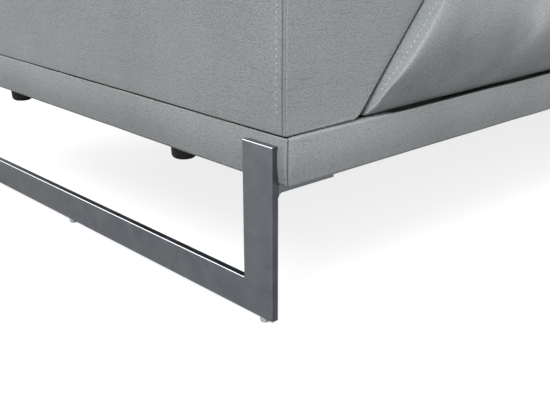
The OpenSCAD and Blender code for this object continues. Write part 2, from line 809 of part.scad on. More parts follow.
module back_webbing() {
    color(BLACK) {
        back_belts(left_x[0], middle_x[1]);
        back_belts(corner_x[0], corner_frame_x1);
        on_side() back_belts(-shell_y, side_back_reach);
    }
}

// Back cushion over the stretch x. lean tells which ends follow the slope of the neighbouring backrest.
module back_cushion(x, lean = [0, 0]) {
    x0 = x[0];
    x1 = x[1];
    h = back_top - back_z;
    roll = 16;
    levels = [[0, 0.7], [0.14, 0.15], [0.4, 0], [0.68, 0.05], [0.86, 0.35], [1, 0.95]];
    function thick(z) = back_pad_t - back_pad_taper * (z - back_z) / h - 14;
    function place(u, v, w) = [u, shell_y - touch_gap + (v - back_z) * rake - w * thick(v), v];
    function skew(p) =
        let (t = (p[0] - x0) / (x1 - x0), s = (p[1] - back_z) * rake)
        [p[0] + (lean[1] * t - lean[0] * (1 - t)) * s, p[1]];
    function ring(d, w) =
        [for (q = rounded_box([x0 + d, back_z + d / 2], [x1 - d, back_top - d], 22, [2, 4, 4, 4], 3, 3))
            let (p = skew(q)) place(p[0], p[1], w)];
    face = ring(roll, 1);
    mid = middle(face);
    crown = [for (k = [0.75, 0.4]) [for (p = face)
        let (q = [mid[0] + (p[0] - mid[0]) * k, 0, mid[2] + (p[2] - mid[2]) * k])
        [q[0], shell_y - touch_gap + (q[2] - back_z) * rake - thick(q[2]) - 14 * (1 - k * k), q[2]]]];
    color(LEATHER) loft(concat([for (l = levels) ring(roll * l[1], l[0])], crown));
}

corner_cushion_end = side_shift + shell_y - seat_gap;

// Pad that fills the corner between the folded headrests
module corner_top_pad() {
    z0 = shell_top + touch_gap;
    x0 = side_shift + head_front + 4;
    y0 = head_front + 4;
    h = 2 * head_r - 12;
    levels = [[0, 8], [0.14, 2], [0.35, 0], [0.65, 0], [0.86, 3], [1, 12]];
    base = [for (l = levels) lift(rounded_box([x0 + l[1], y0 + l[1]],
        [chaise_x1 - 2 - l[1], run_depth - 2 - l[1]], 22, [0, 0, 0, 0], 3, 1), z0 + h * l[0])];
    top = base[len(base) - 1];
    mid = middle(top);
    color(LEATHER) loft(concat(base, [for (k = [0.7, 0.35]) domed(top, mid, k, 8)]));
}

// Headrests

slot_w = 3 * hinge_t + 4;
slot_reach = 86;
slot_from = -150;                      // front edge of the slot, where the raised pad meets the fixed plate
slot_to = -18;
head_wrap = 86;                        // half the angle that each rounded edge of a headrest turns through
arm_len = 150;
arm_half = 13;
leaf_half = 12;
slot_r = 2 * leaf_half + 4;            // room round the pin
flange = [50, 66, 3];

// Section of a headrest with its hinge at the origin and its free edge along +y, moved in by d
function head_outline(d) =
    concat(
        arc([head_reach, 0], head_tip_r - d, -head_wrap, head_wrap, 6),
        drawn_side([head_reach, head_tip_r - d], [0, head_r - d], -5, 2),
        arc([0, 0], head_r - d, 180 - head_wrap, 180 + head_wrap, 7),
        drawn_side([0, d - head_r], [head_reach, d - head_tip_r], 0, 2));

module at_hinge() {
    translate([0, hinge_y, hinge_z]) children();
}

module hinge_places(x) {
    for (place = [x[0] + hinge_from_end, x[1] - hinge_from_end]) translate([place, 0, 0]) children();
}

// Headrest pad over the stretch x, with a pocket for each hinge
module headrest_pad(x) {
    x0 = x[0];
    x1 = x[1];
    ends = [[0, 15], [3, 8], [10, 2.5], [24, 0]];
    stations = concat([for (e = ends) [x0 + e[0], e[1]]], [[(x0 + x1) / 2, -3]],
        [for (k = [len(ends) - 1:-1:0]) [x1 - ends[k][0], ends[k][1]]]);
    color(LEATHER) difference() {
        at_hinge() rotate([-head_droop, 0, 0])
            loft([for (s = stations) [for (p = head_outline(s[1])) [s[0], p[0], p[1]]]]);
        at_hinge() hinge_places(x) {
            x_cylinder(slot_r, slot_w);
            rotate([90, 0, 90]) linear_extrude(slot_w, center = true)
                polygon(concat([[0, 0]], arc([0, 0], slot_reach, slot_from, slot_to, 12)));
            rotate([-head_droop, 0, 0]) translate([moving_x, 0, 0])
                box([-hinge_t / 2 - touch_gap, 0, -arm_half - touch_gap],
                    [hinge_t / 2 + touch_gap, arm_len + touch_gap, arm_half + touch_gap]);
        }
    }
}

fixed_x = -hinge_t / 2 - 0.2;
moving_x = hinge_t / 2 + 0.2;

// Moving plate of a hinge, in the pocket of its pad
module headrest_arms(x) {
    color(SPRING) at_hinge() hinge_places(x) translate([moving_x, 0, 0]) rotate([-head_droop, 0, 0])
        difference() {
            union() {
                x_cylinder(arm_half, hinge_t);
                box([-hinge_t / 2, 0, -arm_half], [hinge_t / 2, arm_len, arm_half]);
            }
            x_cylinder(pin_r + pin_fit, 3 * hinge_t);
            for (y = [70, 110]) translate([0, y, 0]) x_cylinder(2.5, 3 * hinge_t);
        }
}

// Fixed plates with their pins, and the flanges that are screwed to the top of the shell
module headrest_brackets(x) {
    foot_y = shell_y + shell_rake + 8;
    color(SPRING) hinge_places(x) {
        at_hinge() {
            translate([fixed_x, 0, 0]) x_cylinder(leaf_half, hinge_t);
            translate([fixed_x - hinge_t / 2 + 0.5, 0, 0]) rotate([0, 90, 0])
                cylinder(r = pin_r, h = 2 * hinge_t + 1.4, $fn = 48);
            translate([moving_x + hinge_t / 2 + 0.3, 0, 0]) rotate([0, 90, 0])
                cylinder(r = pin_r + 2, h = 1.5, $fn = 48);
        }
        translate([fixed_x - hinge_t / 2, 0, 0]) rotate([90, 0, 90]) linear_extrude(hinge_t)
            polygon([[hinge_y + 2, hinge_z + leaf_half - 3], [hinge_y - leaf_half + 2, hinge_z - 6],
                [foot_y, shell_top + 1], [foot_y + 34, shell_top + 1],
                [hinge_y + leaf_half - 3, hinge_z - 7]]);
        difference() {
            box([fixed_x - flange[0] / 2, foot_y, shell_top],
                [fixed_x + flange[0] / 2, foot_y + flange[1], shell_top + flange[2]]);
            for (dx = [-17, 17], dy = [14, 52]) translate([fixed_x + dx, foot_y + dy, shell_top - 1])
                cylinder(r = plate_hole_r, h = flange[2] + 2, $fn = 32);
        }
    }
}

left_x = [arm_x1 + seat_gap, arm_x1 + seat_w - half_gap];
middle_x = [arm_x1 + seat_w + half_gap, main_x1 - half_gap];
corner_x = [chaise_x0 + half_gap, corner_cushion_end];
corner_head_x = [chaise_x0 + half_gap, side_shift + head_front - 2];
side_split = (pad_front - side_back_reach) / 2;
side_y = [side_split + half_gap, pad_front - seat_gap];
side_head_y = [side_split + half_gap, head_front - 2];
side_end_y = [-side_back_reach + half_gap, side_split - half_gap];

// A stretch of the chaise's side as a stretch of x in the run's frame, for on_side
function along_side(y) = [-y[1], -y[0]];

module main_headrest_brackets() {
    headrest_brackets(left_x);
    headrest_brackets(middle_x);
}

module chaise_headrest_brackets() {
    headrest_brackets(corner_head_x);
    for (y = [side_head_y, side_end_y]) on_side() headrest_brackets(along_side(y));
}

main_plans = [left_seat_plan, middle_seat_plan];
chaise_plans = [corner_seat_plan, chaise_seat_plan, end_seat_plan];

module main_spring_frames() {
    color(TIMBER) for (plan = main_plans) spring_frame(plan);
}

module chaise_spring_frames() {
    color(TIMBER) for (plan = chaise_plans) spring_frame(plan);
}

module main_seat_webbing() {
    for (plan = main_plans) seat_webbing(plan);
}

module chaise_seat_webbing() {
    for (plan = chaise_plans) seat_webbing(plan);
}

module side_back_cushion() {
    on_side() back_cushion(along_side(side_y), [1, 0]);
}

module side_end_back_cushion() {
    on_side() back_cushion(along_side(side_end_y));
}

module side_headrest_pad() {
    on_side() headrest_pad(along_side(side_head_y));
}

module side_headrest_arms() {
    on_side() headrest_arms(along_side(side_head_y));
}

module side_end_headrest_pad() {
    on_side() headrest_pad(along_side(side_end_y));
}

module side_end_headrest_arms() {
    on_side() headrest_arms(along_side(side_end_y));
}

// What is drawn for each name in NODES

in_frame() at_end_sled() sled(end_sled_length);  // end_sled
in_frame() at_end_sled() sled_brackets(end_sled_length);  // end_sled_brackets
in_frame() at_end_sled() sled_glides(end_sled_length);  // end_sled_glides
in_frame() at_end_sled() sled_screws(end_sled_length);  // end_sled_screws
in_frame() at_foot_sled() sled(foot_sled_length);  // foot_sled
in_frame() at_foot_sled() sled_brackets(foot_sled_length);  // foot_sled_brackets
in_frame() at_foot_sled() sled_glides(foot_sled_length);  // foot_sled_glides
in_frame() at_foot_sled() sled_screws(foot_sled_length);  // foot_sled_screws
in_frame() stub_feet();
in_frame() support_legs();
in_frame() support_leg_pads();
in_frame() module_connectors();
in_frame() main_base_frame();
in_frame() base_cover(main_lo, main_hi);  // main_base_cover
in_frame() main_dust_cover();
in_frame() chaise_base_frame();
in_frame() base_cover(chaise_lo, chaise_hi);  // chaise_base_cover
in_frame() chaise_dust_cover();
in_frame() arm_frame();
in_frame() arm_cover();
in_frame() arm_bolts();
in_frame() main_spring_frames();
in_frame() chaise_spring_frames();
in_frame() main_seat_webbing();
in_frame() chaise_seat_webbing();
in_frame() left_seat();
in_frame() middle_seat();
in_frame() corner_seat();
in_frame() chaise_seat();
in_frame() chaise_end_seat();
in_frame() main_back_frame();
in_frame() main_back_shell();
in_frame() chaise_back_frame();
in_frame() chaise_back_shell();
in_frame() side_back_frame();
in_frame() side_back_shell();
in_frame() back_webbing();
in_frame() back_cushion(left_x);  // left_back_cushion
in_frame() back_cushion(middle_x);  // middle_back_cushion
in_frame() back_cushion(corner_x, [0, 1]);  // corner_back_cushion
in_frame() side_back_cushion();
in_frame() side_end_back_cushion();
in_frame() corner_top_pad();
in_frame() main_headrest_brackets();
in_frame() chaise_headrest_brackets();
in_frame() headrest_pad(left_x);  // left_headrest_pad
in_frame() headrest_arms(left_x);  // left_headrest_arms
in_frame() headrest_pad(middle_x);  // middle_headrest_pad
in_frame() headrest_arms(middle_x);  // middle_headrest_arms
in_frame() headrest_pad(corner_head_x);  // corner_headrest_pad
in_frame() headrest_arms(corner_head_x);  // corner_headrest_arms
in_frame() side_headrest_pad();
in_frame() side_headrest_arms();
in_frame() side_end_headrest_pad();
in_frame() side_end_headrest_arms();
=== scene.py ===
"""Leather corner sofa on flat steel sled legs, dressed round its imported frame.

Sizes in the classes are in millimetres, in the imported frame: x runs along the sofa to the right, y from
its front to its back, and z up from the floor. Meshes are made in metres.
"""

from __future__ import annotations

import json
import logging
import math
from dataclasses import dataclass, field
from enum import Enum
from functools import cache
from typing import Callable, Optional, Sequence, Union

import bmesh
import bpy
import numpy as np
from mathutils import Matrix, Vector, noise

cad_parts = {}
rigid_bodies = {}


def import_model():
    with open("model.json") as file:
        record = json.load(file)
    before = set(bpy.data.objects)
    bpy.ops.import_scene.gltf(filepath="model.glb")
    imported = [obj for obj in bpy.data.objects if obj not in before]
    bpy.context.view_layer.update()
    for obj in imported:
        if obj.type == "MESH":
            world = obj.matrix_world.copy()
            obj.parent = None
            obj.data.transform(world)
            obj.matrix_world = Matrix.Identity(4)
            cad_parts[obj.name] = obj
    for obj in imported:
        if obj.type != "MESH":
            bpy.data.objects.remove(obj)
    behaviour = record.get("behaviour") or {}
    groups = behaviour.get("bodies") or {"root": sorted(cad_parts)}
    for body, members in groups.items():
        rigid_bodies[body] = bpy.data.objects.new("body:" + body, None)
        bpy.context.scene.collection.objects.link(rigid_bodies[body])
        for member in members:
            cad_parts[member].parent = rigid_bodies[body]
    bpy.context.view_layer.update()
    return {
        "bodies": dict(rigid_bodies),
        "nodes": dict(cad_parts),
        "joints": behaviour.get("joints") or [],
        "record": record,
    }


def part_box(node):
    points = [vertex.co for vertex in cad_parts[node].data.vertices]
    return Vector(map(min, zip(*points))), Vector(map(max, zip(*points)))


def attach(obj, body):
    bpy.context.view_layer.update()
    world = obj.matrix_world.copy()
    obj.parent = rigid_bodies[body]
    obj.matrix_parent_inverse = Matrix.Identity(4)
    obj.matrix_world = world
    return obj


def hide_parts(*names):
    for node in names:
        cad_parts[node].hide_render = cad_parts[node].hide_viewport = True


log = logging.getLogger("corner_sofa")

MM = 0.001
Point = np.ndarray
Metres = tuple[float, float, float]
Piece = bpy.types.Object
Place = Callable[[Point], Point]
Finishing = Callable[[], None]
Value = Union[bpy.types.NodeSocket, float]

# Name of the attribute of painted shade, which darkens the leather in seams, joints and under what stands on
# it.
SHADE = "seam_shade"
MAIN_BODY = "sofa"
ROW = 8.4  # Distance from a seam to the row of topstitches beside it.


class Slot(Enum):
    """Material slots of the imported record."""

    LEATHER = "leather"
    SATIN_STEEL = "satin_steel"
    ZINC_STEEL = "zinc_steel"
    CLEAR_PLASTIC = "clear_plastic"
    BLACK_PLASTIC = "black_plastic"
    FELT = "felt"
    TIMBER = "timber"
    PLYWOOD = "plywood"
    WEBBING = "webbing"
    DUST_CLOTH = "dust_cloth"


class Wrap(Enum):
    """Which way the main panel of a seat cover runs, from its round front over the top."""

    ALONG_Y = "along_y"
    ALONG_X = "along_x"
    BOXED = "boxed"


class Run(Enum):
    """The two backrests: along the run, and along the side of the chaise.

    The side backrest is drawn as if it stood behind the run, with x along -y, and is turned into place.
    """

    MAIN = "main"
    SIDE = "side"

    @property
    def shift(self) -> float:
        """How far the side backrest is moved along x once it is turned."""
        return box_mm("chaise_base_cover")[1][0] - box_mm("main_base_cover")[1][1]

    def carry(self, p: Point) -> Point:
        """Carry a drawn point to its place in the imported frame."""
        return p if self is Run.MAIN else vec(p[1] + self.shift, -p[0], p[2])

    def back(self, p: Point) -> Point:
        """Carry a packed point back to where it is drawn."""
        return p if self is Run.MAIN else vec(-p[1], p[0] - self.shift, p[2])

    def way(self, v: Point) -> Point:
        """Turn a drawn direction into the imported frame."""
        return self.carry(v) - self.carry(vec(0, 0, 0))

    def stretch(self, node: str) -> tuple[float, float]:
        """Both ends of a node along its backrest, as drawn."""
        lo, hi = box_mm(node)
        return (lo[0], hi[0]) if self is Run.MAIN else (-hi[1], -lo[1])


def vec(*values: float) -> Point:
    """A point or direction as an array of floats."""
    return np.array(values, dtype=float)


def unit(v: Point) -> Point:
    """The direction of v."""
    return v / np.linalg.norm(v)


def between(value: float, low: float, high: float) -> float:
    """The value, no less than low and no more than high."""
    return min(max(value, low), high)


def smooth(t: float) -> float:
    """Smooth step from 0 to 1."""
    s = between(t, 0.0, 1.0)
    return s * s * (3 - 2 * s)


@cache
def box_mm(node: str) -> tuple[Point, Point]:
    """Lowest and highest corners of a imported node, in millimetres."""
    lo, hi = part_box(node)
    return vec(*lo) / MM, vec(*hi) / MM


# Colours and nodes


def linear(hex_colour: str) -> tuple[float, float, float, float]:
    """Turn an sRGB hex colour into linear light.

    Args:
        hex_colour: Colour such as "#8c9091".

    Returns:
        Linear red, green, blue and an alpha of 1.
    """
    values = [int(hex_colour[i : i + 2], 16) / 255 for i in (1, 3, 5)]
    red, green, blue = (v / 12.92 if v <= 0.04045 else ((v + 0.055) / 1.055) ** 2.4 for v in values)
    return red, green, blue, 1.0


class Canvas:
    """A node tree in the making, with the few kinds of texture that the finishes are drawn with."""

    def __init__(self, tree: bpy.types.NodeTree) -> None:
        """Start on a tree, with its coordinates."""
        self.tree = tree
        self.coordinates = self.add("ShaderNodeTexCoord")
        self.place = self.coordinates.outputs["Object"]

    def add(
        self, kind: str, settings: Optional[dict] = None, inputs: Optional[dict] = None
    ) -> bpy.types.Node:
        """Add one shader node.

        Args:
            kind: Type name of the node.
            settings: Attributes of the node, by name.
            inputs: Values or sockets for the inputs, by name or index.

        Returns:
            The new node.
        """
        node = self.tree.nodes.new(kind)
        for name, value in (settings or {}).items():
            setattr(node, name, value)
        self.fill(node, inputs or {})
        return node

    def fill(self, node: bpy.types.Node, inputs: dict) -> None:
        """Link sockets to a node's inputs, and set plain values on the others."""
        for name, value in inputs.items():
            if isinstance(value, bpy.types.NodeSocket):
                self.tree.links.new(value, node.inputs[name])
            else:
                node.inputs[name].default_value = value

    def surface(self, inputs: dict) -> None:
        """Fill inputs of the principled shader."""
        self.fill(self.tree.nodes["Principled BSDF"], inputs)

    def noise(self, size_mm: float, detail: float = 2.0, **more: Value) -> bpy.types.Node:
        """Cloudy texture with features of a size, which is 1000 where its vector is scaled already."""
        inputs = {"Vector": self.place, "Scale": 1 / (size_mm * MM), "Detail": detail, **more}
        return self.add("ShaderNodeTexNoise", inputs=inputs)

    def wave(self, direction: str, scale: float, kind: str = "BANDS", **more: Value) -> Value:
        """Height of a texture of bands or rings, by their direction and how close they lie."""
        settings = {"wave_type": kind, "bands_direction": direction}
        inputs = {"Vector": self.place, "Scale": scale, **more}
        return self.add("ShaderNodeTexWave", settings, inputs).outputs["Fac"]

    def stretched(self, scale: tuple[float, float, float]) -> Value:
        """The coordinates, scaled along each axis."""
        mapping = self.add("ShaderNodeMapping", inputs={"Vector": self.place, "Scale": scale})
        return mapping.outputs["Vector"]

    def ramp(self, value: Value, *stops: tuple[float, str]) -> Value:
        """Colour a value.

        Args:
            value: Socket that is coloured.
            *stops: Places from 0 to 1 with their hex colours, in order.

        Returns:
            The colour socket.
        """
        node = self.add("ShaderNodeValToRGB", inputs={"Fac": value})
        elements = node.color_ramp.elements
        while len(elements) < len(stops):
            elements.new(1.0)
        for element, (place, colour) in zip(elements, stops):
            element.position = place
            element.color = linear(colour)
        return node.outputs["Color"]

    def span(
        self, value: Value, source: tuple[float, float] = (0.0, 1.0), target: tuple[Value, Value] = (0.0, 1.0)
    ) -> Value:
        """Map a value from the source range onto the target range."""
        names = ("Value", "From Min", "From Max", "To Min", "To Max")
        inputs = dict(zip(names, (value, *source, *target)))
        return self.add("ShaderNodeMapRange", inputs=inputs).outputs["Result"]

    def tint(self, share: Value, colour: Value, by: str) -> Value:
        """Multiply a colour by a hex colour where share is 1."""
        settings = {"data_type": "RGBA", "blend_type": "MULTIPLY"}
        return self.add("ShaderNodeMix", settings, {0: share, 6: colour, 7: linear(by)}).outputs[2]

    def bump(
        self, height: Value, strength: float, depth_mm: float, invert: bool = False, **more: Value
    ) -> Value:
        """Relief of a height, as a normal; inverted, high values lie deep."""
        inputs = {"Strength": strength, "Distance": depth_mm * MM, "Height": height, **more}
        return self.add("ShaderNodeBump", {"invert": invert}, inputs).outputs["Normal"]

    def seen_rays(self) -> Value:
        """1 for rays that see the background, 0 for those that light the sofa or show in its steel."""
        path = self.add("ShaderNodeLightPath").outputs
        inputs = {0: path["Is Camera Ray"], 1: path["Is Transmission Ray"]}
        return self.add("ShaderNodeMath", {"operation": "MAXIMUM"}, inputs).outputs[0]


# Finishes


@dataclass(frozen=True)
class Finish:
    """What every finish shares: a name, and a material that its own draw method fills."""

    name: str

    def build(self) -> bpy.types.Material:
        """The finished material."""
        material = bpy.data.materials.new(self.name)
        material.use_nodes = True
        self.draw(Canvas(material.node_tree))
        return material

    def draw(self, canvas: Canvas) -> None:
        """Draw the finish."""
        raise NotImplementedError


@dataclass(frozen=True)
class Leather(Finish):
    """Corrected cowhide, dyed grey and embossed: a fine pebble with creases drawn along the hide."""

    colour: str = "#8d9192"
    deep: str = "#86898a"
    light: str = "#959899"
    pebble_mm: float = 1.5
    crease_mm: float = 2.6
    crease_run_mm: float = 45.0
    cloud_mm: float = 170.0
    roughness: float = 0.46

    def draw(self, canvas: Canvas) -> None:
        """The leather, with its pebble drawn a little coarser than the real 1 mm so that it shows."""
        # Dye takes unevenly over a hide, which gives the eye soft lighter and darker clouds.
        cloud = canvas.noise(self.cloud_mm, 3.0, Roughness=0.55).outputs["Fac"]
        tone = canvas.ramp(cloud, (0.28, self.deep), (0.52, self.colour), (0.78, self.light))
        # The embossed pebble: round grains with thin valleys, darker where finish and dust settle.
        warp = canvas.noise(3.5 * self.pebble_mm, 1.0).outputs["Color"]
        bend = {0: warp, 1: (self.pebble_mm * MM,) * 3, 2: canvas.place}
        bent = canvas.add("ShaderNodeVectorMath", {"operation": "MULTIPLY_ADD"}, bend).outputs["Vector"]
        grains = {"Vector": bent, "Scale": 1 / (self.pebble_mm * MM), "Smoothness": 0.35}
        pebble = canvas.add("ShaderNodeTexVoronoi", {"feature": "SMOOTH_F1"}, grains).outputs["Distance"]
        valley = canvas.span(pebble, (0.35, 0.8))
        # Creases run along the hide, level with the floor, as the leather is drawn round the base.
        along, across = 1 / (self.crease_run_mm * MM), 1 / (self.crease_mm * MM)
        stretch = canvas.stretched((along, along, across))
        crease = canvas.noise(1 / MM, 3.0, Vector=stretch, Distortion=0.4).outputs["Fac"]
        line = canvas.span(crease, (0.6, 0.75))
        worn = canvas.tint(line, canvas.tint(valley, tone, "#dadada"), "#f0f0f0")
        # Painted shade, partly the dust that seams keep: the seam_shade attribute darkens the colour in seams
        # and joints, and on tops in the shadow under what stands on them, so they read as fine dark lines.
        painted_shade = canvas.add("ShaderNodeAttribute", {"attribute_name": SHADE}).outputs["Fac"]
        low = canvas.bump(line, 0.4, 0.4, invert=True)
        canvas.surface(
            {
                "Base Color": canvas.tint(painted_shade, worn, "#2a2a2b"),
                "Roughness": canvas.span(valley, target=(self.roughness - 0.04, self.roughness + 0.16)),
                "Normal": canvas.bump(pebble, 0.75, 0.35, invert=True, Normal=low),
                "IOR": 1.47,
            }
        )


@dataclass(frozen=True)
class Thread(Finish):
    """Bonded polyester thread in a grey a little lighter than the leather, with a soft twist."""

    colour: str = "#c6c9ca"
    shade: str = "#9da1a3"
    twist_mm: float = 1.2

    def draw(self, canvas: Canvas) -> None:
        """The thread, whose twist reads as fine slanted bands."""
        twist = canvas.wave("DIAGONAL", 0.3 / (self.twist_mm * MM), Distortion=0.6)
        tone = canvas.ramp(twist, (0.1, self.shade), (0.7, self.colour))
        canvas.surface({"Base Color": tone, "Roughness": 0.55})


@dataclass(frozen=True)
class BrushedMetal(Finish):
    """Flat steel, ground and lacquered or plated: fine brush lines and faint clouds in the gloss."""

    colour: str
    shade: str
    roughness: float
    brush_mm: float = 0.9
    streak_mm: float = 160.0
    cloud_mm: float = 45.0

    def draw(self, canvas: Canvas) -> None:
        """The metal; its brush lines are drawn coarser than real grit, so that they show."""
        along, across = 1 / (self.streak_mm * MM), 1 / (self.brush_mm * MM)
        brush = canvas.noise(1 / MM, Vector=canvas.stretched((across, along, across))).outputs["Fac"]
        # Handling and the lacquer leave clouds that change the gloss more than the colour.
        cloud = canvas.noise(self.cloud_mm, 4.0, Distortion=1.2).outputs["Fac"]
        both = canvas.add("ShaderNodeMath", {"operation": "MULTIPLY_ADD"}, {0: brush, 1: 0.5, 2: cloud})
        gloss = (self.roughness - 0.06, self.roughness + 0.1)
        canvas.surface(
            {
                "Base Color": canvas.ramp(cloud, (0.3, self.shade), (0.7, self.colour)),
                "Roughness": canvas.span(both.outputs["Value"], (0.4, 1.1), gloss),
                "Normal": canvas.bump(brush, 0.12, 0.05),
                "Metallic": 1.0,
            }
        )


@dataclass(frozen=True)
class FrostedPlastic(Finish):
    """Moulded polyethylene, clear but milky: light comes through it softly."""

    colour: str = "#c9cdcf"
    deep: str = "#aeb2b5"
    haze_mm: float = 5.0

    def draw(self, canvas: Canvas) -> None:
        """The plastic, with cloudy flow marks inside it."""
        haze = canvas.noise(self.haze_mm).outputs["Fac"]
        tone = canvas.ramp(haze, (0.3, self.deep), (0.7, self.colour))
        canvas.surface({"Base Color": tone, "Roughness": 0.38, "Transmission Weight": 0.25, "IOR": 1.5})


@dataclass(frozen=True)
class MouldedPlastic(Finish):
    """Black polypropylene with a spark eroded skin: dark, with small soft glints on its texture."""

    colour: str = "#060607"
    light: str = "#0c0c0d"
    grain_mm: float = 0.9
    roughness: float = 0.42

    def draw(self, canvas: Canvas) -> None:
        """The plastic with its eroded grain."""
        grain = canvas.noise(self.grain_mm).outputs["Fac"]
        tone = canvas.ramp(grain, (0.35, self.colour), (0.7, self.light))
        relief = canvas.bump(grain, 0.3, 0.1)
        canvas.surface({"Base Color": tone, "Normal": relief, "Roughness": self.roughness, "IOR": 1.49})


@dataclass(frozen=True)
class Cloth(Finish):
    """Thin or pressed textile: felt, woven elastic or bonded cloth, told apart by pitch and colour."""

    colour: str
    light: str
    pitch_mm: float
    roughness: float = 0.9
    woven: bool = False

    def draw(self, canvas: Canvas) -> None:
        """The cloth, woven in two directions or matted at random."""
        if self.woven:
            scale = 0.32 / (self.pitch_mm * MM)
            threads = {i: canvas.wave(axis, scale, Distortion=0.3) for i, axis in enumerate("XY")}
            height = canvas.add("ShaderNodeMath", {"operation": "MAXIMUM"}, threads).outputs[0]
        else:
            height = canvas.noise(self.pitch_mm, 4.0, Roughness=0.7).outputs["Fac"]
        tone = canvas.ramp(height, (0.3, self.colour), (0.8, self.light))
        relief = canvas.bump(height, 0.5, 0.3)
        canvas.surface({"Base Color": tone, "Normal": relief, "Roughness": self.roughness})


@dataclass(frozen=True)
class Wood(Finish):
    """Softwood or birch ply, sawn and left raw: long growth rings, or the edges of stacked plies."""

    colour: str
    dark: str
    ring_mm: float
    along_x: bool = True

    def draw(self, canvas: Canvas) -> None:
        """The wood, whose rings are stretched along the boards."""
        stretch = canvas.stretched((0.06 if self.along_x else 1.0, 1.0, 1.0))
        kind = "RINGS" if self.along_x else "BANDS"
        wander = {"Distortion": 3.0 if self.along_x else 0.4, "Detail": 3.0, "Detail Scale": 1.5}
        rings = canvas.wave("X", 0.3 / (self.ring_mm * MM), kind, Vector=stretch, **wander)
        tone = canvas.ramp(rings, (0.2, self.dark), (0.75, self.colour))
        canvas.surface({"Base Color": tone, "Normal": canvas.bump(rings, 0.25, 0.2), "Roughness": 0.72})


@dataclass(frozen=True)
class StudioFloor(Finish):
    """Matt white board that the camera sees as pure white, and that still takes the shadow."""

    colour: str = "#8a8a8a"
    light: str = "#8c8c8c"
    cloud_mm: float = 1250.0
    lift: float = 0.82

    def draw(self, canvas: Canvas) -> None:
        """The board, with the lift only for rays that see it from the camera or through plastic."""
        tone = canvas.noise(self.cloud_mm).outputs["Fac"]
        shade = canvas.ramp(tone, (0.3, self.colour), (0.7, self.light))
        canvas.surface({"Base Color": shade, "Roughness": 0.9})
        plain = canvas.tree.nodes["Principled BSDF"].outputs[0]
        glow = canvas.add("ShaderNodeEmission", inputs={"Strength": self.lift}).outputs[0]
        both = canvas.add("ShaderNodeAddShader", inputs={0: plain, 1: glow}).outputs[0]
        mix = canvas.add("ShaderNodeMixShader", inputs={0: canvas.seen_rays(), 1: plain, 2: both})
        canvas.fill(canvas.tree.nodes["Material Output"], {"Surface": mix.outputs[0]})


class Finishes:
    """Every finish of the sofa, built once."""

    def __init__(self) -> None:
        """Build the materials, by slot, and the ground edge with its painted shade, thread and floor beside
        them.
        """
        drawn = {
            Slot.LEATHER: Leather("grey_leather"),
            Slot.SATIN_STEEL: BrushedMetal("satin_steel", "#989da2", "#8a8f95", 0.3),
            Slot.ZINC_STEEL: BrushedMetal("zinc_plated_steel", "#9da1a6", "#84888d", 0.38, 0.6, 30.0),
            Slot.CLEAR_PLASTIC: FrostedPlastic("frosted_plastic"),
            Slot.BLACK_PLASTIC: MouldedPlastic("black_plastic"),
            Slot.FELT: Cloth("pressed_felt", "#3a3a3c", "#5a5a5c", 0.8),
            Slot.TIMBER: Wood("sawn_pine", "#c9a878", "#a9824f", 6.0),
            Slot.PLYWOOD: Wood("birch_plywood", "#cfb283", "#9c7746", 1.6, along_x=False),
            Slot.WEBBING: Cloth("elastic_webbing", "#141415", "#2c2c2e", 2.4, woven=True),
            Slot.DUST_CLOTH: Cloth("bonded_cloth", "#0c0c0d", "#1b1b1c", 1.4),
        }
        self.by_slot = {slot: finish.build() for slot, finish in drawn.items()}
        # The ground edge's darker colour is partly painted shade, for the shade on the bar's cut faces.
        self.shaded_ground_edge = BrushedMetal("shaded_ground_steel_edge", "#74787e", "#686c72", 0.36).build()
        self.thread = Thread("grey_thread").build()
        self.floor = StudioFloor("white_board").build()

    def dress(self, piece: Piece, slot: Slot) -> None:
        """Give a packed or new mesh object the finish of its slot."""
        material = self.by_slot[slot]
        slots = piece.material_slots
        if len(slots) == 0:
            piece.data.materials.append(material)
        for index in range(len(slots)):
            slots[index].material = material

    def dress_packed(self, nodes: dict[str, Piece], record: dict) -> None:
        """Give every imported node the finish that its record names."""
        slots = {part["node"]: part["material_slot"] for part in record["subparts"]}
        for name, node in nodes.items():
            self.dress(node, Slot(slots[name]))


# Meshes


@dataclass
class Skin:
    """Points and faces of a mesh in the making, in millimetres."""

    points: list[Point] = field(default_factory=list)
    faces: list[Sequence[int]] = field(default_factory=list)

    def ring(self, points: Sequence[Point]) -> list[int]:
        """Add a row of points and tell their indices."""
        self.points.extend(points)
        return list(range(len(self.points) - len(points), len(self.points)))

    def bridge(self, a: Sequence[int], b: Sequence[int]) -> None:
        """Join two closed rings of as many points, given by their indices, with quads."""
        following = list(range(1, len(a))) + [0]
        self.faces += [(a[i], a[j], b[j], b[i]) for i, j in enumerate(following)]

    def loft(self, rings: Sequence[Sequence[Point]], cap_start: bool = True, cap_end: bool = True) -> None:
        """Skin a stack of closed rings.

        Args:
            rings: The rings, each with as many points.
            cap_start: Whether the first ring is closed with a face.
            cap_end: Whether the last ring is closed with a face.
        """
        rows = [self.ring(r) for r in rings]
        for a, b in zip(rows, rows[1:]):
            self.bridge(a, b)
        if cap_start:
            self.faces.append(tuple(reversed(rows[0])))
        if cap_end:
            self.faces.append(tuple(rows[-1]))

    def piece(self, name: str, shaded_smooth: bool = True) -> Piece:
        """Turn the skin into an object, with every face looking outwards.

        Args:
            name: Name of the object.
            shaded_smooth: Whether its faces are shaded smooth.

        Returns:
            The object, linked to the scene.
        """
        mesh = bpy.data.meshes.new(name)
        mesh.from_pydata([tuple(p * MM) for p in self.points], [], [tuple(f) for f in self.faces])
        bm = bmesh.new()
        bm.from_mesh(mesh)
        bmesh.ops.remove_doubles(bm, verts=bm.verts, dist=1e-6)
        bmesh.ops.recalc_face_normals(bm, faces=bm.faces)
        bm.to_mesh(mesh)
        bm.free()
        # Large end faces stay flat, so that the round edges beside them don't tint them.
        flat = [shaded_smooth and len(face.vertices) < 9 for face in mesh.polygons]
        mesh.polygons.foreach_set("use_smooth", flat)
        piece = bpy.data.objects.new(name, mesh)
        bpy.context.scene.collection.objects.link(piece)
        return piece


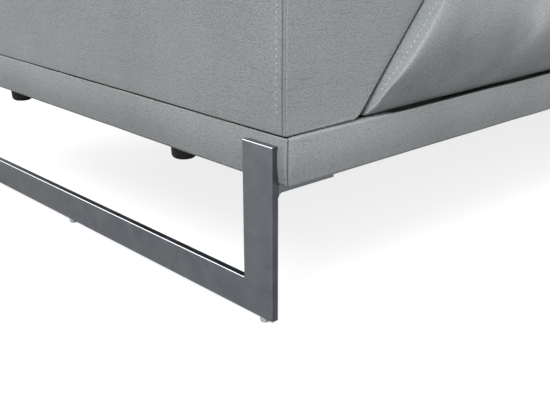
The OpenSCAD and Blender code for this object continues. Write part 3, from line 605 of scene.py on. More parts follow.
def shade(piece: Piece, share: Callable[[Point], float]) -> None:
    """Note at each point of a soft piece how much painted shade darkens it, in seams, joints and under what
    stands on it, from 0 to 1.
    """
    layer = piece.data.attributes.new(SHADE, "FLOAT", "POINT")
    layer.data.foreach_set("value", [share(vec(*v.co) / MM) for v in piece.data.vertices])


def arc(centre: Point, radius: float, start: float, end: float, steps: int) -> list[Point]:
    """Points of an arc in a plane, from one angle in degrees to another, with both ends."""
    angles = [math.radians(start + (end - start) * i / steps) for i in range(steps + 1)]
    return [centre + radius * vec(math.cos(a), math.sin(a)) for a in angles]


def spread(a: Point, b: Point, step: float) -> list[Point]:
    """Points between two points, without the ends, at most a step apart."""
    count = max(int(np.linalg.norm(b - a) / step), 1)
    return [a + (b - a) * i / count for i in range(1, count)]


def rounded_polygon(corners: Sequence[Point], radii: Sequence[float], step: float) -> list[Point]:
    """Outline with round corners and evenly divided sides.

    Args:
        corners: Corners in anticlockwise order.
        radii: Radius at each corner.
        step: Longest distance between points on the sides.

    Returns:
        The points of the outline.
    """
    arcs = []
    for i, corner in enumerate(corners):
        before, after = unit(corners[i - 1] - corner), unit(corners[(i + 1) % len(corners)] - corner)
        half = math.acos(max(-1.0, min(1.0, float(before @ after)))) / 2
        centre = corner + unit(before + after) * radii[i] / math.sin(half)
        start = corner + before * radii[i] / math.tan(half) - centre
        end = corner + after * radii[i] / math.tan(half) - centre
        a0, a1 = (math.degrees(math.atan2(p[1], p[0])) for p in (start, end))
        turn = (a1 - a0 + 180) % 360 - 180
        arcs.append(arc(centre, radii[i], a0, a0 + turn, max(3, int(abs(turn) / 12))))
    outline: list[Point] = []
    for i, points in enumerate(arcs):
        outline += points + spread(points[-1], arcs[(i + 1) % len(arcs)][0], step)
    return outline


def along_side(t: float, length: float, r: float) -> tuple[float, float]:
    """Place on one side of a rounded rectangle, from the middle of one corner to the middle of the next.

    Args:
        t: Share of the way, from 0 to 1.
        length: Length of the side with its corners.
        r: Corner radius.

    Returns:
        Distance along the side, and distance drawn in by the corner.
    """
    half_arc = r * math.pi / 4
    straight = length - 2 * r
    s = t * (straight + 2 * half_arc)
    if s < half_arc:
        a = math.pi / 4 - s / r
        return r - r * math.sin(a), r - r * math.cos(a)
    if s > half_arc + straight:
        a = (s - half_arc - straight) / r
        return length - r + r * math.sin(a), r - r * math.cos(a)
    return r + s - half_arc, 0.0


# Soft pieces


@dataclass
class Hollow:
    """Space under a seat cover, which its timber frame stands in."""

    lo: Point
    hi: Point
    top: float


@dataclass
class Pad:
    """A stuffed or foam pad: a round edged box over a plan, swollen by simulation and then sewn.

    The plan lies in the pad's own x and y, its thickness along z, and place carries a point of the pad
    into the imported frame.
    """

    name: str
    lo: Point
    hi: Point
    z0: float
    z1: float
    rolls: tuple[float, float, float, float]
    corner_r: float = 12.0
    crown: float = 9.0
    slack: float = 2.5
    step: float = 15.0
    bow: tuple[float, float, float, float] = (0.0, 0.0, 0.0, 0.0)
    place: Place = lambda p: p
    shape: Place = lambda p: p
    hollow: Optional[Hollow] = None
    fullness: float = 2.4
    tuck: float = 1.0
    end_line: float = 4.0

    def outline(self, u: float, v: float, angle: float) -> Point:
        """Point of the pad's outline at one height.

        Args:
            u: Share of the way across, 0 or 1 on the left and right sides.
            v: Share of the way up the plan, 0 or 1 on the front and rear sides.
            angle: Angle of the roll, from -90 degrees at the bottom to 90 at the top.

        Returns:
            The point of the outline in the plan.
        """
        turn = 1 - math.cos(math.radians(angle)) ** (self.tuck if angle < 0 else 1.0)
        slack = self.slack * (1 - turn if angle < 0 else 1.0)
        front, right, rear, left = (roll * turn + slack for roll in self.rolls)
        lo = self.lo + vec(left, front)
        hi = self.hi - vec(right, rear)
        size = hi - lo
        radius = self.corner_r * (1 - 0.4 * turn)
        if v in (0.0, 1.0):
            along, inward = along_side(u, size[0], radius)
            inward += self.bow[0 if v == 0.0 else 2] * math.sin(math.pi * u)
            return vec(lo[0] + along, lo[1] + inward if v == 0.0 else hi[1] - inward)
        along, inward = along_side(v, size[1], radius)
        inward += self.bow[3 if u == 0.0 else 1] * math.sin(math.pi * v)
        return vec(lo[0] + inward if u == 0.0 else hi[0] - inward, lo[1] + along)

    def inside(self, u: float, v: float, angle: float) -> Point:
        """Point within the top or bottom, blended from the four sides of the outline.

        Args:
            u: Share of the way across.
            v: Share of the way up the plan.
            angle: Angle of the roll where the face begins.

        Returns:
            The point in the plan.
        """
        edge = self.outline
        sides = (1 - v) * edge(u, 0.0, angle) + v * edge(u, 1.0, angle)
        sides = sides + (1 - u) * edge(0.0, v, angle) + u * edge(1.0, v, angle)
        corners = (1 - u) * (1 - v) * edge(0.0, 0.0, angle) + u * (1 - v) * edge(1.0, 0.0, angle)
        corners = corners + (1 - u) * v * edge(0.0, 1.0, angle) + u * v * edge(1.0, 1.0, angle)
        return sides - corners

    def point(self, u: float, v: float, w: float) -> Point:
        """Point of the pad's skin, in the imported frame.

        Args:
            u: Share of the way across.
            v: Share of the way up the plan.
            w: Share of the way up the thickness, as an angle of the roll.

        Returns:
            The point in millimetres.
        """
        angle = -90 + 180 * w
        z = self.z0 + (self.z1 - self.z0) * (1 + math.sin(math.radians(angle))) / 2
        on_edge = u in (0.0, 1.0) or v in (0.0, 1.0)
        plan = self.outline(u, v, angle) if on_edge else self.inside(u, v, angle)
        if w == 1.0 and not on_edge:
            full = self.fullness
            z += self.crown * (1 - abs(2 * u - 1) ** full) * (1 - abs(2 * v - 1) ** full)
        return self.place(self.shape(vec(plan[0], plan[1], z)))

    def shares(self, length: float) -> list[float]:
        """Lines of the grid along one side, as shares of its length, with one more close to each end."""
        count = max(int(length / self.step), 4)
        near = self.end_line / length
        return [0.0, near, *(i / count for i in range(1, count)), 1 - near, 1.0]

    def build(self) -> Piece:
        """Make the pad's skin as an even grid, with its hollow from below where it has one.

        Returns:
            The object, before it is swollen and sewn.
        """
        us, vs = (self.shares(float(size)) for size in self.hi - self.lo)
        nu, nv = len(us) - 1, len(vs) - 1
        nw = max(int((self.z1 - self.z0) * 1.35 / self.step), 5)
        skin = Skin()
        index: dict[tuple[int, int, int], int] = {}

        def at(i: int, j: int, k: int) -> int:
            """Index of a grid point, made when first asked for."""
            if (i, j, k) not in index:
                index[i, j, k] = len(skin.points)
                skin.points.append(self.point(us[i], vs[j], k / nw))
            return index[i, j, k]

        for i in range(nu):
            for j in range(nv):
                skin.faces.append((at(i, j, nw), at(i + 1, j, nw), at(i + 1, j + 1, nw), at(i, j + 1, nw)))
                if self.hollow is None:
                    skin.faces.append((at(i, j, 0), at(i, j + 1, 0), at(i + 1, j + 1, 0), at(i + 1, j, 0)))
            for k in range(nw):
                skin.faces.append((at(i, 0, k), at(i + 1, 0, k), at(i + 1, 0, k + 1), at(i, 0, k + 1)))
                skin.faces.append((at(i, nv, k), at(i, nv, k + 1), at(i + 1, nv, k + 1), at(i + 1, nv, k)))
        for j in range(nv):
            for k in range(nw):
                skin.faces.append((at(0, j, k), at(0, j, k + 1), at(0, j + 1, k + 1), at(0, j + 1, k)))
                skin.faces.append((at(nu, j, k), at(nu, j + 1, k), at(nu, j + 1, k + 1), at(nu, j, k + 1)))
        if self.hollow is not None:
            loop = [(i, 0) for i in range(nu)] + [(nu, j) for j in range(nv)]
            loop += [(i, nv) for i in range(nu, 0, -1)] + [(0, j) for j in range(nv, 0, -1)]
            rim = [at(i, j, 0) for i, j in loop]
            lo, hi = self.hollow.lo, self.hollow.hi
            plan = [[lo + (hi - lo) * vec(u, v) for v in vs] for u in us]
            low = skin.ring([self.place(vec(*plan[i][j], self.z0)) for i, j in loop])
            rows = [skin.ring([self.place(vec(*p, self.hollow.top)) for p in row]) for row in plan]
            skin.bridge(rim, low)
            skin.bridge(low, [rows[i][j] for i, j in loop])
            for a, b in zip(rows, rows[1:]):
                skin.faces += [(a[j], a[j + 1], b[j + 1], b[j]) for j in range(nv)]
        return skin.piece(self.name)


@dataclass
class Soft:
    """A soft piece: what holds and stops it as it swells, and how it is finished after that."""

    piece: Piece
    node: str
    held: Callable[[Point], float]
    limit: Place
    cap: float
    waves: tuple[float, float, float]
    seams: Sequence[Seam]
    fill: float
    body: str = MAIN_BODY
    sewn: Finishing = lambda: None


@dataclass
class Stuffing:
    """Swells all soft pieces with cloth simulation, in one run of frames."""

    frames: int = 18
    slack: float = 0.012
    pressure: float = 1.1
    jobs: list[Soft] = field(default_factory=list)

    def prepare(self, job: Soft) -> None:
        """Put a cloth modifier on a piece, with its held points in a group.

        Args:
            job: The piece and how it swells.
        """
        group = job.piece.vertex_groups.new(name="held")
        for vertex in job.piece.data.vertices:
            group.add([vertex.index], job.held(vec(*vertex.co) / MM), "REPLACE")
        cloth = job.piece.modifiers.new("Cloth", "CLOTH")
        settings = cloth.settings
        settings.quality = 5
        settings.mass = 0.4
        settings.tension_stiffness = settings.compression_stiffness = 12.0
        settings.shear_stiffness = 6.0
        settings.bending_stiffness = 0.6
        settings.use_pressure = True
        settings.uniform_pressure_force = self.pressure
        settings.shrink_min = -self.slack
        settings.vertex_group_mass = "held"
        settings.effector_weights.gravity = 0.0
        cloth.collision_settings.use_collision = False
        cloth.point_cache.frame_start = 1
        cloth.point_cache.frame_end = self.frames

    def collect(self, job: Soft) -> None:
        """Apply the swollen shape, no further than the cap and the limit allow.

        Args:
            job: The piece and how it swells.
        """
        piece = job.piece
        start = np.array([v.co for v in piece.data.vertices]) / MM
        posed = piece.evaluated_get(bpy.context.evaluated_depsgraph_get())
        swollen = np.array([v.co for v in posed.data.vertices]) / MM
        move = swollen - start
        length = np.linalg.norm(move, axis=1, keepdims=True)
        move *= np.minimum(1.0, job.cap / np.maximum(length, 1e-9))
        final = np.array([job.limit(p) for p in start + move])
        piece.modifiers.remove(piece.modifiers["Cloth"])
        piece.vertex_groups.clear()
        piece.data.vertices.foreach_set("co", (final * MM).ravel())
        piece.data.update()

    def swell(self) -> None:
        for job in self.jobs:
            self.prepare(job)
        for frame in range(1, self.frames + 1):
            bpy.context.scene.frame_set(frame)
        for job in self.jobs:
            self.collect(job)
        bpy.context.scene.frame_set(1)
        log.info("swelled %d pieces over %d frames", len(self.jobs), self.frames)


def bake(piece: Piece) -> None:
    """Apply every modifier of a piece."""
    mesh = bpy.data.meshes.new_from_object(piece.evaluated_get(bpy.context.evaluated_depsgraph_get()))
    piece.modifiers.clear()
    old = piece.data
    piece.data = mesh
    bpy.data.meshes.remove(old)
    mesh.name = piece.name


def subdivide(piece: Piece) -> None:
    """Smooth a piece once by subdivision, and apply it."""
    modifier = piece.modifiers.new("Subdivision", "SUBSURF")
    modifier.levels = modifier.render_levels = 1
    bake(piece)
    piece.data.polygons.foreach_set("use_smooth", [True] * len(piece.data.polygons))


@dataclass(frozen=True)
class Seam:
    """A seam that lies in a plane, with rows of topstitches beside it."""

    point: Point
    normal: Point
    depth: float = 2.6
    half_width: float = 4.0
    rows: tuple[float, ...] = (ROW,)
    where: Callable[[Point], bool] = lambda p: True


@dataclass
class Stitching:
    """Topstitches of one body, gathered into one piece."""

    body: str
    pitch: float = 7.4
    length: float = 4.6
    width: float = 1.4
    height: float = 0.8
    painted_shade: float = 0.4
    bends: tuple[float, float] = (0.22, 0.78)
    bend_share: float = 0.85
    skin: Skin = field(default_factory=Skin)

    def row(self, points: Sequence[Point], normals: Sequence[Point]) -> None:
        """Sew one row of stitches along a line on the leather.

        Args:
            points: Points of the line in millimetres.
            normals: Outward direction of the leather at each point.
        """
        places = np.array(points)
        outward = np.array(normals)
        steps = np.linalg.norm(np.diff(places, axis=0), axis=1)
        travel = np.concatenate([[0.0], np.cumsum(steps)])
        count = int((travel[-1] - self.length) / self.pitch)
        for i in range(max(count, 0)):
            middle = (i + 0.5) * self.pitch + self.length / 2
            ends = [self.sample(places, travel, middle + s * self.length / 2) for s in (-1, 1)]
            up = unit(self.sample(outward, travel, middle))
            self.stitch(ends[0], ends[1], up)

    @staticmethod
    def sample(values: Point, travel: Point, at: float) -> Point:
        """Value at a distance along a line."""
        return vec(*(np.interp(at, travel, values[:, k]) for k in range(3)))

    def stitch(self, a: Point, b: Point, up: Point) -> None:
        """One stitch: a thread that rises out of its hole, lies on the leather and dives again.

        Args:
            a: Where it comes out.
            b: Where it goes in.
            up: Outward direction of the leather.
        """
        side = unit(np.cross(b - a, up)) * self.width / 2 * self.bend_share
        rise, sink = up * self.height * self.bend_share, -up * self.painted_shade
        first = self.skin.ring([a + sink])[0]
        rings = []
        for t in self.bends:
            centre = a + (b - a) * t
            rings.append(self.skin.ring([centre + side, centre + rise, centre - side, centre + sink]))
        last = self.skin.ring([b + sink])[0]
        self.skin.bridge(rings[0], rings[1])
        for i in range(4):
            j = (i + 1) % 4
            self.skin.faces.append((first, rings[0][i], rings[0][j]))
            self.skin.faces.append((last, rings[1][j], rings[1][i]))


class Needle:
    """Cuts seams into soft pieces and sews the rows beside them."""

    def __init__(self) -> None:
        """Start with no stitches."""
        self.stitching: dict[str, Stitching] = {}

    def rows_of(self, body: str) -> Stitching:
        """The stitching of a body, made when first asked for."""
        return self.stitching.setdefault(body, Stitching(body))

    def sew(self, piece: Piece, body: str, seams: Sequence[Seam]) -> None:
        """Draw each seam into the leather and sew its rows.

        Args:
            piece: The soft piece.
            body: Body that it rides on.
            seams: Its seams.
        """
        bm = bmesh.new()
        bm.from_mesh(piece.data)
        shades = bm.verts.layers.float
        dark = shades.get(SHADE) or shades.new(SHADE)
        for seam in seams:
            self.draw(bm, seam, dark)
        bm.normal_update()
        for seam in seams:
            for offset in seam.rows:
                for points, normals in self.lines(bm, seam, offset):
                    self.rows_of(body).row(points, normals)
        bm.to_mesh(piece.data)
        bm.free()
        piece.data.update()

    @staticmethod
    def draw(bm: bmesh.types.BMesh, seam: Seam, dark: bmesh.types.BMLayerItem) -> None:
        """Cut lines along a seam and press them in.

        Args:
            bm: The leather.
            seam: The seam.
            dark: Layer that keeps how far each point lies in shadow.
        """
        normal, origin = Vector(seam.normal), Vector(seam.point * MM)
        w = seam.half_width
        reach = (max([w, *(abs(row) for row in seam.rows)]) + 30) * MM

        def near(face: bmesh.types.BMFace) -> bool:
            """Whether a face lies by the seam and where the seam is."""
            centre = face.calc_center_median()
            return abs((centre - origin).dot(normal)) < reach and seam.where(vec(*centre) / MM)

        faces = [f for f in bm.faces if near(f)]
        geometry = [*{v for f in faces for v in f.verts}, *{e for f in faces for e in f.edges}, *faces]
        for offset in sorted({*(w * k for k in (-1, -0.55, -0.2, 0, 0.2, 0.55, 1)), *seam.rows}):
            point = origin + normal * (offset * MM)
            cut = bmesh.ops.bisect_plane(
                bm, geom=geometry, plane_co=point, plane_no=normal, dist=0.05 * MM
            )
            geometry = cut["geom"]
        bm.normal_update()
        moves = []
        for vertex in bm.verts:
            place = vec(*vertex.co) / MM
            distance = float((place - seam.point) @ seam.normal)
            if abs(distance) < w and seam.where(place):
                near = 1 - (distance / w) ** 2
                moves.append((vertex, vertex.normal * (-seam.depth * near**2 * MM)))
                # Deep seams get painted shade along their groove.
                if seam.depth > 1:
                    vertex[dark] = max(vertex[dark], near**10)
        for vertex, move in moves:
            vertex.co += move

    @staticmethod
    def lines(bm: bmesh.types.BMesh, seam: Seam, offset: float) -> list[tuple[list[Point], list[Point]]]:
        """Find the lines of a piece that lie a distance beside a seam.

        Args:
            bm: The leather, with edges cut along the row.
            seam: The seam.
            offset: Distance of the row from the seam.

        Returns:
            For each line its points and outward directions.
        """

        def on_row(vertex: bmesh.types.BMVert) -> bool:
            """Whether a point lies on the row and where the seam is."""
            place = vec(*vertex.co) / MM
            return abs(float((place - seam.point) @ seam.normal) - offset) < 0.12 and seam.where(place)

        row = {v for v in bm.verts if on_row(v)}
        links = {v: [e.other_vert(v) for e in v.link_edges if e.other_vert(v) in row] for v in row}
        found, left = [], set(row)
        ends = [v for v in row if len(links[v]) == 1]
        for start in ends + list(row):
            if start not in left:
                continue
            chain = [start]
            left.discard(start)
            while True:
                following = [v for v in links[chain[-1]] if v in left]
                if not following:
                    break
                chain.append(following[0])
                left.discard(following[0])
            if len(chain) > 3:
                found.append(([vec(*v.co) / MM for v in chain], [vec(*v.normal) for v in chain]))
        return found

    def thread(self, finishes: Finishes) -> None:
        """Turn the gathered stitches into one piece for each body.

        Args:
            finishes: The finishes, for the thread.
        """
        for body, rows in self.stitching.items():
            if not rows.skin.points:
                continue
            piece = rows.skin.piece(f"{body}_stitches")
            piece.data.materials.append(finishes.thread)
            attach(piece, body)
            log.info("%s: %d points of thread", piece.name, len(rows.skin.points))


def undulate(piece: Piece, height: float, wave: float, seed: float) -> None:
    """Let the leather lie unevenly over its foam, by low waves along its outward direction.

    Args:
        piece: The soft piece.
        height: Height of the waves in millimetres.
        wave: Length of the waves in millimetres.
        seed: Shifts the waves, so that pieces differ.
    """
    mesh = piece.data
    places, outward = np.empty(len(mesh.vertices) * 3), np.empty(len(mesh.vertices) * 3)
    mesh.vertices.foreach_get("co", places)
    mesh.vertices.foreach_get("normal", outward)
    places, outward = places.reshape(-1, 3), outward.reshape(-1, 3)
    spots = places / (wave * MM) + vec(seed, 0.7 * seed, 0.3 * seed)
    rise = np.array([noise.noise(Vector(spot)) for spot in spots]) * height * MM
    mesh.vertices.foreach_set("co", (places + outward * rise[:, None]).ravel())
    mesh.update()


class Upholsterer:
    def __init__(self, finishes: Finishes) -> None:
        """Keep the finishes, with empty stuffing and an unused needle."""
        self.finishes = finishes
        self.stuffing = Stuffing()
        self.needle = Needle()

    def cover(self, piece: Piece, body: str, node: str) -> None:
        """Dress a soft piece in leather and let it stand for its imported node.

        Args:
            piece: The finished soft piece.
            body: Body that it rides on.
            node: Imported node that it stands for.
        """
        self.finishes.dress(piece, Slot.LEATHER)
        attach(piece, body)
        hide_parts(node)
        log.info("%s: %d points for %s", piece.name, len(piece.data.vertices), node)

    def finish(self) -> None:
        """Swell the soft pieces that wait for it, then smooth, sew and cover each."""
        self.stuffing.swell()
        for job in self.stuffing.jobs:
            subdivide(job.piece)
            undulate(job.piece, *job.waves)
            self.needle.sew(job.piece, job.body, job.seams)
            job.sewn()
            self.cover(job.piece, job.body, job.node)


class Series:
    """A sub-assembly of soft pieces that are made one by one, each from its shape."""

    shapes: Sequence

    def build(self, upholsterer: Upholsterer) -> None:
        """Make every piece."""
        for shape in self.shapes:
            self.build_one(upholsterer, shape)


@dataclass
class Steelwork:
    """The two flat steel sleds, with the fine broken edges that a grinder leaves."""

    edge: float = 0.7
    upright_w: float = 50.0
    runner_h: float = 43.0
    nodes: tuple[str, str] = ("end_sled", "foot_sled")

    def outline(self, low: float, high: float, z0: float, z1: float) -> list[Point]:
        """Corners of a sled that lies from low to high along its length and from z0 to z1 in height."""
        a, b, z = low + self.upright_w, high - self.upright_w, z0 + self.runner_h
        corners = ((low, z0), (high, z0), (high, z1), (b, z1), (b, z), (a, z), (a, z1), (low, z1))
        return [vec(*corner) for corner in corners]

    def build(self, finishes: Finishes) -> None:
        """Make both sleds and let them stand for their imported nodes.

        Args:
            finishes: The finishes, for the steel.
        """
        for node in self.nodes:
            lo, hi = box_mm(node)
            along_y = hi[1] - lo[1] > hi[0] - lo[0]
            length, thin = (1, 0) if along_y else (0, 1)
            outline = self.outline(lo[length], hi[length], lo[2], hi[2])
            skin = Skin()
            skin.loft(
                [
                    [vec(side, s, z) if along_y else vec(s, side, z) for s, z in outline]
                    for side in (lo[thin], hi[thin])
                ]
            )
            piece = skin.piece(f"{node}_bar", shaded_smooth=False)
            bm = bmesh.new()
            bm.from_mesh(piece.data)
            bmesh.ops.bevel(
                bm, geom=list(bm.edges), offset=self.edge * MM, segments=1, affect="EDGES"
            )
            # The flats are lacquered; the cut faces between them are ground, and painted darker as shade on
            # those faces.
            for face in bm.faces:
                if abs(face.normal[thin]) < 0.3:
                    face.material_index = 1
            bm.to_mesh(piece.data)
            bm.free()
            piece.data.materials.append(finishes.by_slot[Slot.SATIN_STEEL])
            piece.data.materials.append(finishes.shaded_ground_edge)
            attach(piece, MAIN_BODY)
            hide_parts(node)
            log.info("%s: flat bar %.0f mm long", piece.name, hi[length] - lo[length])


@dataclass
class BaseCovers:
    """Padded leather round the two bases, drawn under the board and seamed up each corner."""

    arm: Armrest
    corner_r: float = 5.5
    cover_t: float = 9.0
    turn_in: float = 45.0
    top_r: float = 2.4
    low_r: float = 5.0
    sag: float = 1.2
    bulge: float = 2.4
    step: float = 14.0
    seam_turn: float = 34.0
    seam_depth: float = 1.9
    seam_w: float = 1.1
    past_arm: float = 3.5

    def section(self, z0: float, z1: float) -> list[tuple[float, float, float]]:
        """Section of the cover, as distance inwards, height and share that a seam presses in.

        Args:
            z0: Underside of the base.
            z1: Top of the base.

        Returns:
            The points, from the underside round the outside to the top and back inside.
        """
        low = arc(vec(self.low_r, z0 - self.sag + self.low_r), self.low_r, 270, 180, 6)
        high = arc(vec(self.top_r, z1 - self.top_r), self.top_r, 180, 90, 5)
        a, b = low[-1][1], high[0][1]
        shares = [i / 8 for i in range(1, 8)]
        face = [vec(-self.bulge * math.sin(math.pi * t), a + (b - a) * t) for t in shares]
        shown = [(p[0], p[1], 1.0) for p in [*low[1:], *face, *high]]
        above = z1 + 0.05
        hem = [(self.turn_in, z1 + 0.2, 0.0), (self.turn_in, above, 0.0), (self.cover_t, above, 0.0)]
        return [(self.cover_t, z0, 0.0), *shown, *hem]

    def corners(self, lo: Point, hi: Point) -> list[tuple[Point, float]]:
        """Centre of each round corner of a base, and the angle that its arc starts at."""
        r = self.corner_r
        return [
            (vec(lo[0] + r, lo[1] + r), 180.0),
            (vec(hi[0] - r, lo[1] + r), 270.0),
            (vec(hi[0] - r, hi[1] - r), 0.0),
            (vec(lo[0] + r, hi[1] - r), 90.0),
        ]

    def stations(self, lo: Point, hi: Point) -> list[tuple[Point, Point, float]]:
        """Places round the base, each with its outward direction and how far a seam presses in.

        Args:
            lo: Lower corner of the base in plan.
            hi: Upper corner of the base in plan.

        Returns:
            The stations in anticlockwise order.
        """
        r = self.corner_r
        found: list[tuple[Point, Point, float]] = []
        corners = self.corners(lo, hi)
        for i, (centre, start) in enumerate(corners):
            for k, point in enumerate(arc(vec(0, 0), 1.0, start, start + 90, 24)):
                beside = math.radians(k * 90 / 24 - self.seam_turn) * r
                found.append((centre + r * point, point, self.press(beside)))
            following, _ = corners[(i + 1) % 4]
            outward = found[-1][1]
            begin, end = found[-1][0], following + r * outward
            along = unit(end - begin)
            length = float(np.linalg.norm(end - begin))
            count = int(length / self.step)
            found += [(begin + along * length * j / count, outward, 0.0) for j in range(1, count)]
        return found

    def press(self, beside: float) -> float:
        """Share of its depth that the corner seam presses in, or less than 0 on the folds beside it."""
        fold = 0.3 * math.exp(-(((abs(beside) - 2 * self.seam_w) / 0.8) ** 2))
        return max(0.0, 1 - (beside / self.seam_w) ** 2) ** 2 - fold

    def dark(self, p: Point, lo: Point, hi: Point) -> float:
        """How much painted shade darkens the cover at a point: in its corner seams, and on top, in the shadow
        under what stands on it.

        Args:
            p: The point.
            lo: Lower corner of the base.
            hi: Upper corner of the base.

        Returns:
            From 0 in the open to 1 in the dark.
        """
        for centre, start in self.corners(lo, hi):
            beside = p[:2] - centre
            if np.linalg.norm(beside) < 1.6 * self.corner_r:
                turn = math.degrees(math.atan2(beside[1], beside[0])) - start - self.seam_turn
                away = abs(math.radians((turn + 180) % 360 - 180)) * self.corner_r
                if away < 1.0:
                    return 0.5 * (1 - away)
        # Painted shadow on top, under the arm and the seats: beside the arm it begins a little further back,
        # and nearer the front edge further along.
        if p[2] < hi[2] - 1.2:
            return 0.0
        beyond = p[0] - self.arm.inner_side(hi[2])
        front = self.past_arm if beyond < 0 else between(self.past_arm + 2 - 0.12 * (beyond - 25), 1.0, 6.0)
        inside = min(p[0] - lo[0], hi[0] - p[0], hi[1] - p[1], p[1] - lo[1] - front + 1.0)
        return between(inside, 0.0, 1.0)

    def build(self, upholsterer: Upholsterer) -> None:
        """Make both covers.

        Args:
            upholsterer: Finishes the soft pieces.
        """
        for node in ("main_base_cover", "chaise_base_cover"):
            lo, hi = box_mm(node)
            section = self.section(lo[2], hi[2])
            skin = Skin()
            rows = []
            for place, outward, near in self.stations(lo, hi):
                ring = []
                for inward, z, share in section:
                    spot = place - outward * (inward + near * share * self.seam_depth)
                    ring.append(vec(spot[0], spot[1], z))
                rows.append(skin.ring(ring))
            for a, b in zip(rows, rows[1:] + rows[:1]):
                skin.bridge(a, b)
            piece = skin.piece(f"{node}_leather")
            undulate(piece, 0.5, 90.0, 3.0)
            shade(piece, lambda p: self.dark(p, lo, hi))
            upholsterer.cover(piece, MAIN_BODY, node)


@dataclass
class Armrest:
    """The arm: a narrow foot, an inner side that leans over the seat, and flat sewn end panels."""

    foot_w: float = 113.0
    lean: float = 40.6
    crown: float = 6.0
    foot_r: float = 1.8
    far_foot_r: float = 22.0
    shoulder_r: float = 45.0
    top_r: float = 24.0
    step: float = 14.0
    ends: tuple[tuple[float, float], ...] = (
        *((0.0, 2.6), (0.4, 1.4), (1.1, 0.6), (1.8, 0.3), (2.4, 1.2), (3.0, 0.3)),
        *((3.8, 0.0), (6.6, 0.1), (7.2, 1.8), (7.8, 0.1), (9.0, 0.0)),
    )
    # Each end groove, with the share of painted shade in it.
    grooves: tuple[tuple[float, float], ...] = ((2.4, 0.3), (7.2, 0.65))
    stitch_at: float = 16.2
    gap: float = 0.9
    core_wall: float = 21.0
    core_side: float = 1.0

    def inner_side(self, z: float) -> float:
        """Where a piece that stands beside the arm's leaning inner side begins, along x.

        Args:
            z: Height above the floor.

        Returns:
            The place along x, with the gap between the two.
        """
        lo, hi = box_mm("arm_cover")
        leaning = lo[0] + self.foot_w + (z - lo[2]) * math.tan(math.radians(self.lean))
        return min(leaning, hi[0]) + self.gap

    def outline(self, inward: float, core: tuple[float, float, float]) -> list[Point]:
        """Front view of the arm at one place along it, with the hollow for its core.

        Args:
            inward: How far the outline is drawn in.
            core: Left, right and top of the hollow; the top is the arm's underside where there is none.

        Returns:
            The outline, anticlockwise from the hollow's right foot.
        """
        lo, hi = box_mm("arm_cover")
        shoulder = lo[2] + (hi[0] - lo[0] - self.foot_w) / math.tan(math.radians(self.lean))
        corners = [
            vec(lo[0], lo[2]),
            vec(lo[0] + self.foot_w, lo[2]),
            vec(hi[0], shoulder),
            vec(hi[0], hi[2] - self.crown),
            vec((lo[0] + hi[0]) / 2, hi[2]),
            vec(lo[0], hi[2] - self.crown),
        ]
        radii = [self.foot_r, self.far_foot_r, self.shoulder_r, self.top_r, 400.0, self.top_r]
        outline = rounded_polygon(corners, radii, self.step)
        middle = (vec(lo[0], lo[2]) + vec(hi[0], hi[2])) / 2
        size = (vec(hi[0], hi[2]) - vec(lo[0], lo[2])) / 2
        if inward:
            outline = [middle + (p - middle) * (1 - inward / size) for p in outline]
        foot = [i for i, p in enumerate(outline) if p[1] < lo[2] + inward + 0.01]
        left, right, top = core
        z = lo[2] + inward
        notch = [vec(left, z), vec(left, top), vec(right, top), vec(right, z)]
        start, end = min(foot), max(foot)
        below = [outline[start]] + notch + [outline[end]]
        return below + outline[end + 1 :] + outline[:start]

    def build(self, upholsterer: Upholsterer) -> None:
        """Make the arm's cover.

        Args:
            upholsterer: Finishes the soft piece.
        """
        lo, hi = box_mm("arm_cover")
        core_lo, core_hi = box_mm("arm_frame")
        left, right = core_lo[0] - self.core_side, core_hi[0] + self.core_side
        full = (left, right, core_hi[2] + self.core_side)
        skin = Skin()
        near = [*self.ends, (self.core_wall - 0.3, 0.0)]
        start, end = core_lo[1] - self.core_side, core_hi[1] + self.core_side
        count = int((end - start) / self.step)
        spots = [(lo[1] + d, inward, False) for d, inward in near]
        spots += [(start + (end - start) * i / count, 0.0, True) for i in range(count + 1)]
        spots.insert(len(near), (start, 0.0, False))
        spots.append((end, 0.0, False))
        spots += [(hi[1] - d, inward, False) for d, inward in reversed(near)]
        rings = []
        for y, inward, hollow in spots:
            outline = self.outline(inward, full if hollow else (left, right, lo[2] + inward))
            rings.append([vec(p[0], y, p[1]) for p in outline])
        skin.loft(rings)
        piece = skin.piece("arm_leather")
        undulate(piece, 0.9, 110.0, 8.0)

        def dark(p: Point) -> float:
            """Painted shade in the grooves of its end seams, and along its foot where it meets the base."""
            end = min(p[1] - lo[1], hi[1] - p[1])
            groove = max(share * between(1.1 - abs(end - at), 0.0, 1.0) for at, share in self.grooves)
            return max(groove, between((lo[2] + 1.5 - p[2]) / 1.2, 0.0, 1.0))

        shade(piece, dark)
        seams = [
            Seam(vec(0, y, 0), vec(0, side, 0), 0.5, 1.6, (0.0,), lambda p: p[2] > lo[2] + 8)
            for y, side in ((lo[1] + self.stitch_at, 1.0), (hi[1] - self.stitch_at, -1.0))
        ]
        upholsterer.needle.sew(piece, MAIN_BODY, seams)
        upholsterer.cover(piece, MAIN_BODY, "arm_cover")


@dataclass(frozen=True)
class SeatShape:
    """What tells one seat from another: its sides go front, right, rear, left."""

    node: str
    wrap: Wrap
    noses: tuple[bool, bool, bool, bool]
    bears: tuple[bool, bool]
    slant: bool = False


